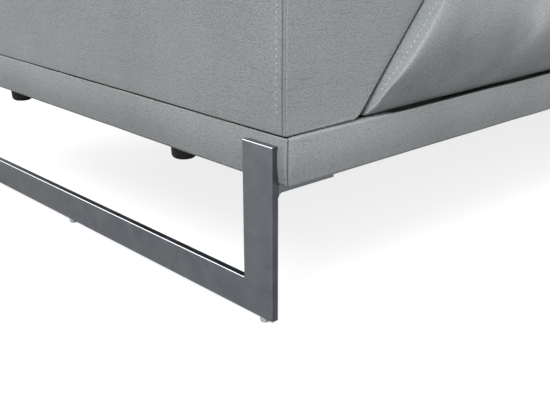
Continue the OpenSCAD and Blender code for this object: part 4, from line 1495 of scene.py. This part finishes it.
@dataclass
class Seats(Series):
    """Five seats with a round front, crowned and swollen, over hollows for their spring frames."""

    arm: Armrest
    shapes: tuple[SeatShape, ...] = (
        SeatShape("left_seat", Wrap.ALONG_Y, (True, False, False, False), (True, False), slant=True),
        SeatShape("middle_seat", Wrap.ALONG_Y, (True, False, False, False), (True, False)),
        SeatShape("corner_seat", Wrap.BOXED, (False, False, False, False), (True, True)),
        SeatShape("chaise_seat", Wrap.ALONG_X, (False, False, False, True), (False, True)),
        SeatShape("chaise_end_seat", Wrap.ALONG_Y, (True, True, False, True), (False, False)),
    )
    nose_out: float = 27.0
    nose_roll: float = 36.0
    edge_roll: float = 10.0
    round_r: float = 30.0
    boxed_r: float = 14.0
    sewn_r: float = 3.0
    crown: float = 7.0
    hollow_wall: float = 52.0
    lean_room: float = 26.0
    droop: float = 5.0
    settle: float = 11.0
    settle_run: float = 90.0
    cap: float = 11.0
    panel_in: float = 3.9
    panel_held: float = 6.0
    seam_w: float = 2.6
    seam_depth: float = 2.0
    seam_low: float = 14.0
    shown_side: float = 40.0
    shown_front: float = 60.0
    core_side: float = 45.0
    core_front: float = 70.0
    core_top: float = 60.0
    band_h: float = 16.0
    crisp_in: float = 0.8
    crisp_w: float = 1.3
    stitch_in: float = 15.0

    def left(self, shape: SeatShape, z: float) -> float:
        """Left side of a seat at a height, which leans along the arm beside the left seat."""
        return self.arm.inner_side(z) if shape.slant else box_mm(shape.node)[0][0]

    def shaper(self, shape: SeatShape) -> Place:
        """Make the function that leans a seat along the arm and settles it under the back cushions.

        Args:
            shape: The seat.

        Returns:
            The function from a point of the plain seat to the shaped one.
        """
        lo, hi = box_mm(shape.node)
        rear = box_mm("left_back_cushion")[0][1]
        right = box_mm("side_back_cushion")[0][0]
        plain = self.arm.inner_side(hi[2])

        def shaped(p: Point) -> Point:
            """Lean and settle one point."""
            x, y, z = p
            if shape.slant:
                t = (hi[0] - x) / (hi[0] - plain)
                x = hi[0] - t * (hi[0] - self.arm.inner_side(z))
            share = (z - lo[2]) / (hi[2] - lo[2])
            under = [d for d, bears in zip((y - rear, x - right), shape.bears) if bears]
            press = max((smooth((d + self.settle_run) / self.settle_run) for d in under), default=0.0)
            return vec(x, y, z - share * self.settle * press)

        return shaped

    def hollow(self, shape: SeatShape, lo: Point, hi: Point) -> Hollow:
        """Hollow under a seat, clear of its spring frame.

        Args:
            shape: The seat.
            lo: Lower corner of its plan.
            hi: Upper corner of its plan.

        Returns:
            The hollow.
        """
        front, right, rear, left = (self.hollow_wall + nose * self.nose_out for nose in shape.noses)
        if shape.slant:
            left = -self.lean_room
        top = box_mm("main_seat_webbing")[1][2] + 0.3
        return Hollow(lo[:2] + vec(left, front), hi[:2] - vec(right, rear), top)

    def seams(self, shape: SeatShape) -> list[Seam]:
        """Seams of a seat cover: round its end panels, or round its top.

        Args:
            shape: The seat.

        Returns:
            The seams.
        """
        lo, hi = box_mm(shape.node)

        def shown(p: Point) -> bool:
            """Keeps a seam off the underside and out of the hollow."""
            beside = p[0] < lo[0] + self.shown_side or p[0] > hi[0] - self.shown_side
            outside = beside or p[1] < lo[1] + self.shown_front or p[2] > hi[2] - self.shown_front
            return p[2] > lo[2] + self.seam_low and outside

        def panel(point: Point, normal: Point) -> Seam:
            """Seam round an end panel."""
            return Seam(point, normal, self.seam_depth, self.seam_w, where=shown)

        if shape.wrap is Wrap.BOXED:
            edge = vec(0, 0, hi[2] - self.crown - self.band_h)
            return [Seam(edge, vec(0, 0, 1), rows=(-ROW,), where=shown)]
        start, end = lo + self.panel_in, hi - self.panel_in
        if shape.wrap is Wrap.ALONG_X:
            return [panel(vec(0, start[1], 0), vec(0, 1, 0)), panel(vec(0, end[1], 0), vec(0, -1, 0))]
        if not shape.slant:
            return [panel(vec(end[0], 0, 0), vec(-1, 0, 0)), panel(vec(start[0], 0, 0), vec(1, 0, 0))]
        lean = math.radians(self.arm.lean)
        foot = vec(self.arm.inner_side(lo[2]) + self.crisp_in, 0, lo[2])
        across = vec(math.cos(lean), 0, -math.sin(lean))
        # A shallow groove with a line of painted shade where the end panel meets the round front.
        crisp = Seam(foot, across, 1.2, self.crisp_w, (), lambda p: p[1] < lo[1] + 400 and p[2] > lo[2])
        return [panel(vec(end[0], 0, 0), vec(-1, 0, 0)), crisp]

    def sew_panel(
        self, stitching: Stitching, piece: Piece, shape: SeatShape, side: Callable[[float], float]
    ) -> None:
        """Sew the row on an end panel, which follows the round front a little inside its seam.

        Args:
            stitching: Gathers the stitches.
            piece: The swollen seat.
            shape: What kind of seat it is.
            side: Place of the panel along x, by height.
        """
        lo, hi = box_mm(shape.node)
        half = (hi[2] - lo[2]) / 2
        centre = vec(lo[1] + self.nose_roll, lo[2] + half)
        points, normals = [], []
        for degrees in range(-64, 76, 4):
            angle = math.radians(degrees)
            reach = vec(-self.nose_roll * math.cos(angle) ** 1.2, half * math.sin(angle))
            y, z = centre + reach - self.stitch_in * unit(vec(reach[0] * half, reach[1] * self.nose_roll))
            found, place, normal, _ = piece.closest_point_on_mesh(Vector((side(z), y, z)) * MM)
            if found:
                points.append(vec(*place) / MM)
                normals.append(vec(*normal))
        stitching.row(points, normals)

    def build_one(self, upholsterer: Upholsterer, shape: SeatShape) -> None:
        """Make one seat and hand it to the stuffing.

        Args:
            upholsterer: Finishes the soft pieces.
            shape: The seat.
        """
        lo, hi = box_mm(shape.node)
        plan_lo, plan_hi = lo[:2].copy(), hi[:2].copy()
        plan_lo[0] = self.left(shape, hi[2])
        sharp = self.boxed_r if shape.wrap is Wrap.BOXED else self.sewn_r
        pad = Pad(
            name=f"{shape.node}_leather",
            lo=plan_lo,
            hi=plan_hi,
            z0=lo[2] - self.droop,
            z1=hi[2] - self.crown,
            rolls=tuple(self.nose_roll if nose else self.edge_roll for nose in shape.noses),
            tuck=1.5,
            corner_r=self.round_r if all(shape.noses[i] for i in (0, 1, 3)) else sharp,
            crown=self.crown + 1,
            shape=self.shaper(shape),
            hollow=self.hollow(shape, plan_lo, plan_hi),
        )
        piece = pad.build()

        def held(p: Point) -> float:
            """Held at its underside, in its hollow and at its sewn end panels."""
            ends = {
                Wrap.ALONG_Y: min(p[0] - self.left(shape, p[2]), hi[0] - p[0]),
                Wrap.ALONG_X: min(p[1] - lo[1], hi[1] - p[1]),
                Wrap.BOXED: math.inf,
            }
            if p[2] < lo[2] + 8 or ends[shape.wrap] < self.panel_held:
                return 1.0
            start, end = lo[:2] + vec(self.core_side, self.core_front), hi[:2] - self.core_side
            inside = all(start < p[:2]) and all(p[:2] < end)
            return float(inside and p[2] < hi[2] - self.crown - self.core_top)

        def limit(p: Point) -> Point:
            """Stopped by its neighbours, and by the arm."""
            x = between(p[0], self.left(shape, p[2]), hi[0])
            return vec(x, between(p[1], lo[1] - 1, hi[1]), min(p[2], hi[2] + 5))

        def sewn() -> None:
            """Sew the rows on both end panels, where the front is round."""
            if shape.noses[0]:
                stitching = upholsterer.needle.rows_of(MAIN_BODY)
                self.sew_panel(stitching, piece, shape, lambda z: self.left(shape, z))
                self.sew_panel(stitching, piece, shape, lambda z: hi[0])

        waves = (0.8, 120.0, 5.0 * self.shapes.index(shape))
        seams = self.seams(shape)
        upholsterer.stuffing.jobs.append(
            Soft(piece, shape.node, held, limit, self.cap, waves, seams, 0.85, sewn=sewn)
        )


@dataclass(frozen=True)
class Backrest:
    """Sizes that the shells and the back cushions share, with y and heights as drawn."""

    lean: float = 25.0
    seat_line: float = 428.0

    @property
    def front(self) -> float:
        """Front of the shell at the seat."""
        return float(box_mm("main_back_shell")[0][1])

    @property
    def rear(self) -> float:
        """Back of the shell."""
        return float(box_mm("main_base_cover")[1][1])

    @property
    def low(self) -> float:
        """Underside of the shell."""
        return float(box_mm("main_back_shell")[0][2])

    @property
    def top(self) -> float:
        """Top of the shell."""
        return float(box_mm("main_back_shell")[1][2])

    @property
    def rake(self) -> float:
        """Slope of the shell's front, as y over height."""
        return self.lean / (self.top - self.seat_line)

    def face(self, z: float) -> float:
        """Front of the shell at a height."""
        return self.front + max(z - self.seat_line, 0.0) * self.rake


@dataclass(frozen=True)
class CushionShape:
    """A back cushion: its node, its backrest, and which ends follow the slope of the next one."""

    node: str
    run: Run
    follows: tuple[bool, bool] = (False, False)


@dataclass
class BackCushions(Series):
    """Five back cushions: thick at the seat, thinner at the top, full in front and flat behind."""

    backrest: Backrest
    shapes: tuple[CushionShape, ...] = (
        CushionShape("left_back_cushion", Run.MAIN),
        CushionShape("middle_back_cushion", Run.MAIN),
        CushionShape("corner_back_cushion", Run.MAIN, (False, True)),
        CushionShape("side_back_cushion", Run.SIDE, (True, False)),
        CushionShape("side_end_back_cushion", Run.SIDE),
    )
    thickness: float = 94.0
    taper: float = 19.0
    crown: float = 14.0
    roll: float = 16.0
    corner_r: float = 22.0
    gap: float = 1.5
    seam_out: float = 46.0
    cap: float = 9.0
    step: float = 17.0

    def ends(self, shape: CushionShape) -> tuple[float, float]:
        """Both ends of a cushion at the seat.

        Args:
            shape: The cushion.

        Returns:
            The drawn x of its left and right end.
        """
        x0, x1 = shape.run.stretch(shape.node)
        if shape.follows[0]:
            x0 = -(self.backrest.front - self.thickness - self.gap)
        if shape.follows[1]:
            x1 = box_mm("side_back_shell")[0][0] - self.gap
        return x0, x1

    def thin(self, z: float) -> float:
        """How thick a cushion is at a height, as a share of its thickness at the seat."""
        share = (z - self.backrest.seat_line) / (self.backrest.top - self.backrest.seat_line)
        return 1 - self.taper * share / (self.thickness - self.crown)

    def build_one(self, upholsterer: Upholsterer, shape: CushionShape) -> None:
        """Make one cushion and hand it to the stuffing.

        Args:
            upholsterer: Finishes the soft pieces.
            shape: The cushion.
        """
        x0, x1 = self.ends(shape)
        backrest, run = self.backrest, shape.run
        low, top, front, rake = backrest.seat_line, backrest.top, backrest.front, backrest.rake

        def placed(p: Point) -> Point:
            """Stand the pad on its edge and lean it on the shell."""
            slope = (p[1] - low) * rake
            t = (p[0] - x0) / (x1 - x0)
            x = p[0] + (shape.follows[1] * t - shape.follows[0] * (1 - t)) * slope
            return run.carry(vec(x, front - 0.3 + slope - p[2] * self.thin(p[1]), p[1]))

        def held(p: Point) -> float:
            """Held against the shell."""
            q = run.back(p)
            return float(q[1] > backrest.face(q[2]) - 12)

        def limit(p: Point) -> Point:
            """Stopped by the shell, the seat, its neighbours and the headrest."""
            q = run.back(p)
            slope = backrest.face(q[2]) - front
            x = between(q[0], x0 - shape.follows[0] * slope, x1 + shape.follows[1] * slope)
            deep = self.thickness - self.taper * max(q[2] - low, 0.0) / (top - low) + 4
            y = between(q[1], backrest.face(q[2]) - deep, backrest.face(q[2]) - 0.3)
            return run.carry(vec(x, y, between(q[2], low, top)))

        pad = Pad(
            name=f"{shape.node}_leather",
            lo=vec(x0, low),
            hi=vec(x1, top),
            z0=0.0,
            z1=self.thickness - self.crown,
            rolls=(self.roll,) * 4,
            corner_r=self.corner_r,
            crown=self.crown + 1,
            step=self.step,
            bow=(1.0, 3.0, 3.0, 3.0),
            place=placed,
        )
        drop = self.seam_out * self.taper / (self.thickness - self.crown) / (top - low)
        normal = run.way(unit(vec(0, -1, rake + drop)))
        seam = Seam(run.carry(vec(0, front - self.seam_out, low)), normal, where=lambda p: p[2] > low + 12)
        waves = (0.9, 130.0, 11.0 + 4 * self.shapes.index(shape))
        upholsterer.stuffing.jobs.append(
            Soft(pad.build(), shape.node, held, limit, self.cap, waves, [seam], 0.7)
        )


@dataclass(frozen=True)
class ShellShape:
    """One shell: its node, its backrest, how its two ends are cut, and where its back has seams."""

    node: str
    run: Run
    beside_arm: bool = False
    mitre: tuple[bool, bool] = (False, False)
    shown_end: bool = False
    seams: tuple[float, ...] = ()


@dataclass
class Shells(Series):
    """The three upholstered shells, open in front where the belts carry the cushions."""

    backrest: Backrest
    arm: Armrest
    shapes: tuple[ShellShape, ...] = (
        ShellShape("main_back_shell", Run.MAIN, beside_arm=True, seams=(0.5,)),
        ShellShape("chaise_back_shell", Run.MAIN, mitre=(False, True)),
        ShellShape("side_back_shell", Run.SIDE, mitre=(True, False), shown_end=True, seams=(0.55,)),
    )
    wall: float = 12.0
    lip: float = 28.0
    outer_radii: tuple[float, ...] = (6.0, 14.0, 26.0, 20.0, 60.0)
    inner_radii: tuple[float, ...] = (2.0, 2.0, 12.0, 8.0, 50.0)
    joint: float = 0.3
    step: float = 20.0
    seam_depth: float = 2.0
    edge_seam: float = 45.0
    end_seam: float = 7.0
    ends_in: tuple[tuple[float, float], ...] = (
        *((0.0, 8.0), (0.0, 5.0), (0.6, 2.6)),
        *((1.8, 0.9), (3.4, 0.2), (5.0, 0.0)),
    )

    def chain(self, d: float, radii: tuple[float, ...]) -> list[Point]:
        """Section of the shell without its front, from the lower lip round the back to the upper one.

        Args:
            d: How far the section is drawn in.
            radii: Radius of each corner.

        Returns:
            The open outline, as drawn y and height.
        """
        rest = self.backrest
        low, high = rest.low + self.lip, rest.top - self.lip
        corners = [
            vec(rest.front + d, rest.low + d),
            vec(rest.rear - d, rest.low + d),
            vec(rest.rear - d, rest.top - d),
            vec(rest.front + rest.lean + d, rest.top - d),
            vec(rest.front + d, rest.seat_line),
        ]
        outline = rounded_polygon(corners, radii, self.step)
        edge = corners[3][0] + 12

        def open_front(p: Point) -> bool:
            """Whether a point lies in the opening."""
            return low < p[1] < high and p[0] < edge

        count = len(outline)
        start = next(i for i in range(count) if open_front(outline[i - 1]) and not open_front(outline[i]))
        kept = [p for p in outline[start:] + outline[:start] if not open_front(p)]
        slope = (corners[3][0] - corners[4][0]) / (corners[3][1] - corners[4][1])
        upper = vec(corners[4][0] + (high - corners[4][1]) * slope, high)
        return [vec(corners[0][0], low), *kept, upper]

    def panel(self, outer: list[Point], count: int) -> list[Point]:
        """Points that close the section's front where the shell is solid.

        Args:
            outer: The outer section.
            count: How many points the hollow has there.

        Returns:
            As many points, from the upper lip down to the lower one.
        """
        turn = vec(self.backrest.front, self.backrest.seat_line)
        first = float(np.linalg.norm(turn - outer[-1]))
        whole = first + float(np.linalg.norm(outer[0] - turn))
        closed = []
        for i in range(count):
            at = whole * (i + 1) / (count + 1)
            if at < first:
                closed.append(outer[-1] + (turn - outer[-1]) * at / first)
            else:
                closed.append(turn + (outer[0] - turn) * (at - first) / (whole - first))
        return closed

    def build_one(self, upholsterer: Upholsterer, shape: ShellShape) -> None:
        """Make one shell.

        Args:
            upholsterer: Finishes the soft pieces.
            shape: The shell.
        """
        backrest, run = self.backrest, shape.run
        outer = self.chain(0.0, self.outer_radii)
        inner = self.chain(self.wall, self.inner_radii)[::-1]
        closed = self.panel(outer, len(inner))
        middle = vec((backrest.front + backrest.rear) / 2, (backrest.low + backrest.top) / 2)
        size = vec((backrest.rear - backrest.front) / 2, (backrest.top - backrest.low) / 2)
        x0, x1 = run.stretch(shape.node)
        corner = float(box_mm("chaise_base_cover")[1][0])

        def left(y: float, z: float) -> float:
            """Left end of the shell at a place in its section."""
            if shape.beside_arm:
                return self.arm.inner_side(z)
            return self.joint - y if shape.mitre[0] else x0

        def right(y: float) -> float:
            """Right end of the shell at a place in its section."""
            return corner - (backrest.rear - y) - self.joint if shape.mitre[1] else x1

        def section(s: float, inward: float = 0.0, hollow: bool = False) -> list[Point]:
            """Ring of the shell at a distance from its left end, or from its right one if s is below 0."""
            ring = []
            for q in [*outer, *(inner if hollow else closed)]:
                if inward:
                    q = middle + (q - middle) * (1 - inward / size)
                x = left(q[0], q[1]) + s if s >= 0 else right(q[0]) + s
                ring.append(vec(x, q[0], q[1]))
            return ring

        start, end = section(self.wall, hollow=True), section(-self.wall, hollow=True)
        count = int((x1 - x0) / (2 * self.step))
        rings = [section(s, inward) for s, inward in self.ends_in]
        rings += [section(self.wall), start]
        rings += [[a + (b - a) * (i / count) for a, b in zip(start, end)] for i in range(1, count)]
        rings += [end, section(-self.wall)]
        rings += [section(-s - 1e-6, inward) for s, inward in reversed(self.ends_in)]
        skin = Skin()
        skin.loft([[run.carry(p) for p in ring] for ring in rings], cap_start=False, cap_end=False)
        # Each end is filled with strips from the back to the front, which stay flat.
        last_ring = len(skin.points) - 2 * len(outer)
        for i in range(len(outer) - 1):
            strip = (i, i + 1, 2 * len(outer) - 2 - i, 2 * len(outer) - 1 - i)
            skin.faces += [strip, tuple(last_ring + k for k in reversed(strip))]
        piece = skin.piece(f"{shape.node}_leather")
        undulate(piece, 1.0, 140.0, 21.0)
        upholsterer.needle.sew(piece, MAIN_BODY, self.seams(shape))
        upholsterer.cover(piece, MAIN_BODY, shape.node)

    def seams(self, shape: ShellShape) -> list[Seam]:
        """Seams of a shell: up its back, along its top edge and round its shown end.

        Args:
            shape: The shell.

        Returns:
            The seams.
        """
        run, rest, depth = shape.run, self.backrest, self.seam_depth
        rear, low, top = rest.rear, rest.low, rest.top
        x0, x1 = run.stretch(shape.node)

        def outside(p: Point) -> bool:
            """Keeps the seams on the back and the top."""
            q = run.back(p)
            return q[1] > rear - 7 and q[2] > low + 4 or q[2] > top - 7

        def behind(p: Point) -> bool:
            """Keeps a seam on the back alone."""
            return run.back(p)[1] > rear - 4

        def all_round(p: Point) -> bool:
            """Keeps a seam out of the hollow and off the underside."""
            q = run.back(p)
            return q[2] > low + 4 and (q[1] > rear - 7 or q[2] > top - 7 or q[1] < rest.face(q[2]) + 7)

        along = run.way(vec(1, 0, 0))
        places = [run.carry(vec(x0 + share * (x1 - x0), 0, 0)) for share in shape.seams]
        found = [Seam(place, along, depth, rows=(-ROW, ROW), where=outside) for place in places]
        edge = vec(0, 0, top - self.edge_seam)
        found.append(Seam(edge, vec(0, 0, 1), depth, rows=(-ROW,), where=behind))
        if shape.shown_end:
            end = run.carry(vec(x1 - self.end_seam, 0, 0))
            found.append(Seam(end, -along, depth, 3.0, where=all_round))
        return found


@dataclass
class CornerPad:
    """Square pad that fills the corner between the folded headrests."""

    node: str = "corner_top_pad"
    roll: float = 14.0
    corner_r: float = 24.0
    crown: float = 8.0
    cap: float = 6.0

    def build(self, upholsterer: Upholsterer) -> None:
        """Make the pad and hand it to the stuffing.

        Args:
            upholsterer: Finishes the soft pieces.
        """
        lo, hi = box_mm(self.node)
        pad = Pad(
            name="corner_pad_leather",
            lo=lo[:2],
            hi=hi[:2],
            z0=lo[2],
            z1=hi[2] - self.crown,
            rolls=(self.roll,) * 4,
            corner_r=self.corner_r,
            crown=self.crown,
            bow=(2.0,) * 4,
        )

        def held(p: Point) -> float:
            """Held where it stands on the shells."""
            return float(p[2] < lo[2] + 8)

        def limit(p: Point) -> Point:
            """Stopped by the headrests beside it and by the shells."""
            return np.clip(p, lo, hi + 4)

        seam = Seam(vec(0, 0, hi[2] - self.crown - self.roll), vec(0, 0, 1), rows=(-ROW,))
        waves = (0.8, 120.0, 31.0)
        upholsterer.stuffing.jobs.append(
            Soft(pad.build(), self.node, held, limit, self.cap, waves, [seam], 0.8)
        )


@dataclass
class Headrests(Series):
    """Five headrests that lie on the backrest and fold up, each with pockets for its two hinges."""

    shapes: tuple[tuple[str, Run], ...] = (
        ("left_headrest", Run.MAIN),
        ("middle_headrest", Run.MAIN),
        ("corner_headrest", Run.MAIN),
        ("side_headrest", Run.SIDE),
        ("side_end_headrest", Run.SIDE),
    )
    radius: float = 45.0
    tip_r: float = 38.0
    reach: float = 212.0
    droop: float = 2.0
    stand: float = 5.0
    end_roll: float = 15.0
    end_seam: float = 5.0
    end_held: float = 8.0
    corner_r: float = 14.0
    crown: float = 6.0
    hinge_from_end: float = 130.0
    pocket_w: float = 16.0
    pocket_r: float = 86.0
    pin_room: float = 28.0
    pocket: tuple[float, float] = (-150.0, -18.0)
    seam_at: float = 84.0
    cap: float = 7.0
    step: float = 14.0

    def taper(self, y: float) -> float:
        """Half thickness of a headrest at a distance behind its hinge, as a share of its radius there."""
        return 1 - (1 - self.tip_r / self.radius) * between(y / self.reach, 0.0, 1.0)

    def cut_pockets(self, piece: Piece, run: Run, places: Sequence[float], hinge: Point) -> None:
        """Cut the pockets that leave room for the fixed hinge plates over the whole travel.

        Args:
            piece: The headrest's leather.
            run: Which backrest it is on.
            places: Drawn x of each hinge.
            hinge: Drawn y and height of the hinge pins.
        """
        start, end = self.pocket
        outline = arc(hinge, self.pocket_r, start, end, 20)
        outline += arc(hinge, self.pin_room, end, start + 360, 24)
        skin = Skin()
        for x in places:
            sides = (x - self.pocket_w / 2, x + self.pocket_w / 2)
            skin.loft([[run.carry(vec(side, *p)) for p in outline] for side in sides])
        cutter = skin.piece("pocket_cutter", shaded_smooth=False)
        modifier = piece.modifiers.new("Pockets", "BOOLEAN")
        modifier.object = cutter
        modifier.operation = "DIFFERENCE"
        modifier.solver = "EXACT"
        bake(piece)
        bpy.data.objects.remove(cutter)

    def build_one(self, upholsterer: Upholsterer, shape: tuple[str, Run]) -> None:
        """Make one headrest and hand it to the stuffing.

        Args:
            upholsterer: Finishes the soft pieces.
            shape: Body that the headrest turns with, and its backrest.
        """
        body, run = shape
        node = f"{body}_pad"
        x0, x1 = run.stretch(node)
        front = min(run.back(corner)[1] for corner in box_mm(node))
        hinge = vec(front + self.radius, box_mm("main_back_shell")[1][2] + self.stand + self.radius)
        c, s = math.cos(math.radians(self.droop)), math.sin(math.radians(self.droop))

        def laid(x: float, y: float, z: float) -> Point:
            """Packed point of a place behind and over the hinge line."""
            return run.carry(vec(x, hinge[0] + y * c + z * s, hinge[1] - y * s + z * c))

        def unlaid(p: Point) -> Point:
            """Drawn x, distance behind the hinge and height over the hinge line of a packed point."""
            q = run.back(p)
            y, z = q[1] - hinge[0], q[2] - hinge[1]
            return vec(q[0], y * c - z * s, y * s + z * c)

        def limit(p: Point) -> Point:
            """Stopped a little outside the drawn shape, and by the backrest below."""
            q = unlaid(p)
            y = between(q[1], -self.radius - 1, self.reach + self.tip_r + 3)
            half = self.radius * self.taper(y)
            return laid(between(q[0], x0, x1), y, between(q[2], -half - 1, half + self.crown + 3))

        def held(p: Point) -> float:
            """Held where the hinge plates go in, underneath, and at its sewn ends."""
            q = unlaid(p)
            at_end = min(q[0] - x0, x1 - q[0]) < self.end_held
            return float(at_end or q[2] < -self.radius * self.taper(q[1]) + 6)

        pad = Pad(
            name=f"{body}_leather",
            lo=vec(x0, -self.radius),
            hi=vec(x1, self.reach + self.tip_r),
            z0=-self.radius,
            z1=self.radius,
            rolls=(self.radius - 3, self.end_roll, self.tip_r - 3, self.end_roll),
            corner_r=self.corner_r,
            crown=self.crown,
            slack=1.5,
            step=self.step,
            place=lambda p: laid(p[0], p[1], p[2] * self.taper(p[1])),
        )
        piece = pad.build()
        along, across = run.way(vec(1, 0, 0)), run.way(vec(0, 1, 0))
        middle = run.carry(vec(0, hinge[0] + self.seam_at, 0))
        seams = [
            Seam(run.carry(vec(x0 + self.end_seam, 0, 0)), along),
            Seam(run.carry(vec(x1 - self.end_seam, 0, 0)), -along),
            Seam(middle, across, where=lambda p: p[2] > hinge[1]),
        ]

        def sewn() -> None:
            """Cut the pockets of both hinges."""
            self.cut_pockets(piece, run, (x0 + self.hinge_from_end, x1 - self.hinge_from_end), hinge)

        waves = (0.8, 120.0, 41.0 + 3 * self.shapes.index(shape))
        upholsterer.stuffing.jobs.append(
            Soft(piece, node, held, limit, self.cap, waves, seams, 0.8, body, sewn)
        )


@dataclass
class Studio:
    """Plain white studio: a board on the floor, even light and soft lamps, and the camera."""

    camera_place: Metres = (-1.94852, -0.52821, 0.47622)
    camera_tilt: float = 90 - 24.358
    camera_turn: float = -42.489
    lens_mm: float = 55.30
    shift: tuple[float, float] = (0.0009, 0.1136)
    horizon: float = 0.2
    zenith: float = 1.4
    floor_size: float = 60.0

    def build(self, finishes: Finishes) -> None:
        """Make the floor, the world, the lamps and the camera.

        Args:
            finishes: The finishes, for the floor.
        """
        self.camera()
        self.world()
        self.floor(finishes)
        self.lamp("key", (-4.2, -1.5, 4.0), (-1.3, 0.1, 0.3), 2.4, 240.0)
        self.lamp("fill", (2.6, -3.8, 2.6), (0.3, 0.0, 0.4), 2.6, 90.0)
        self.lamp("rim", (1.0, 4.4, 3.4), (0.2, 0.6, 0.5), 3.0, 90.0)
        # Shows in the steel's broken edges alone, as a bright line.
        self.lamp("sheen", (-2.15, 2.3, 1.45), (-1.35, 0.3, 0.1), 1.6, 42.0).visible_diffuse = False
        bpy.context.scene.view_settings.view_transform = "Standard"

    def camera(self) -> None:
        """Stand the camera where the photograph's vanishing points put it."""
        data = bpy.data.cameras.new("camera")
        data.lens = self.lens_mm
        data.sensor_width = 36.0
        data.shift_x, data.shift_y = self.shift
        data.clip_start = 0.05
        camera = bpy.data.objects.new("camera", data)
        camera.location = self.camera_place
        camera.rotation_euler = (math.radians(self.camera_tilt), 0.0, math.radians(self.camera_turn))
        bpy.context.scene.collection.objects.link(camera)
        bpy.context.scene.camera = camera

    def world(self) -> None:
        """Light from all round, stronger from above, seen as pure white."""
        world = bpy.data.worlds.new("studio")
        world.use_nodes = True
        bpy.context.scene.world = world
        canvas = Canvas(world.node_tree)
        way = canvas.coordinates.outputs["Generated"]
        height = canvas.add("ShaderNodeSeparateXYZ", inputs={"Vector": way}).outputs["Z"]
        sky = canvas.span(height, target=(self.horizon, self.zenith))
        strength = canvas.span(canvas.seen_rays(), target=(sky, 1.0))
        background = world.node_tree.nodes["Background"]
        canvas.fill(background, {"Color": (1.0, 1.0, 1.0, 1.0), "Strength": strength})

    def floor(self, finishes: Finishes) -> None:
        """Lay the white board on the floor.

        Args:
            finishes: The finishes, for the board.
        """
        half = self.floor_size / 2 / MM
        skin = Skin()
        corners = ((-half, -half), (half, -half), (half, half), (-half, half))
        skin.faces.append(tuple(skin.ring([vec(*corner, 0) for corner in corners])))
        board = skin.piece("floor", shaded_smooth=False)
        board.data.materials.append(finishes.floor)

    @staticmethod
    def lamp(name: str, place: Metres, target: Metres, size: float, power: float) -> Piece:
        """Hang a square soft lamp and point it.

        Args:
            name: Name of the lamp.
            place: Where it hangs, in metres.
            target: What it points at, in metres.
            size: Side of its square face, in metres.
            power: Power in watts.

        Returns:
            The lamp.
        """
        data = bpy.data.lights.new(name, "AREA")
        data.size = size
        data.energy = power
        lamp = bpy.data.objects.new(name, data)
        lamp.location = place
        lamp.rotation_euler = (Vector(target) - Vector(place)).to_track_quat("-Z", "Y").to_euler()
        bpy.context.scene.collection.objects.link(lamp)
        return lamp


def main() -> None:
    """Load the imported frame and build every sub-assembly round it."""
    logging.basicConfig(level=logging.INFO, format="%(name)s: %(message)s")
    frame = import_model()
    finishes = Finishes()
    upholsterer = Upholsterer(finishes)
    Studio().build(finishes)
    finishes.dress_packed(frame["nodes"], frame["record"])
    Steelwork().build(finishes)
    arm, backrest = Armrest(), Backrest()
    for part in (
        BaseCovers(arm),
        arm,
        Seats(arm),
        BackCushions(backrest),
        CornerPad(),
        Headrests(),
        Shells(backrest, arm),
    ):
        part.build(upholsterer)
    upholsterer.finish()
    upholsterer.needle.thread(finishes)


if __name__ == "__main__":
    main()
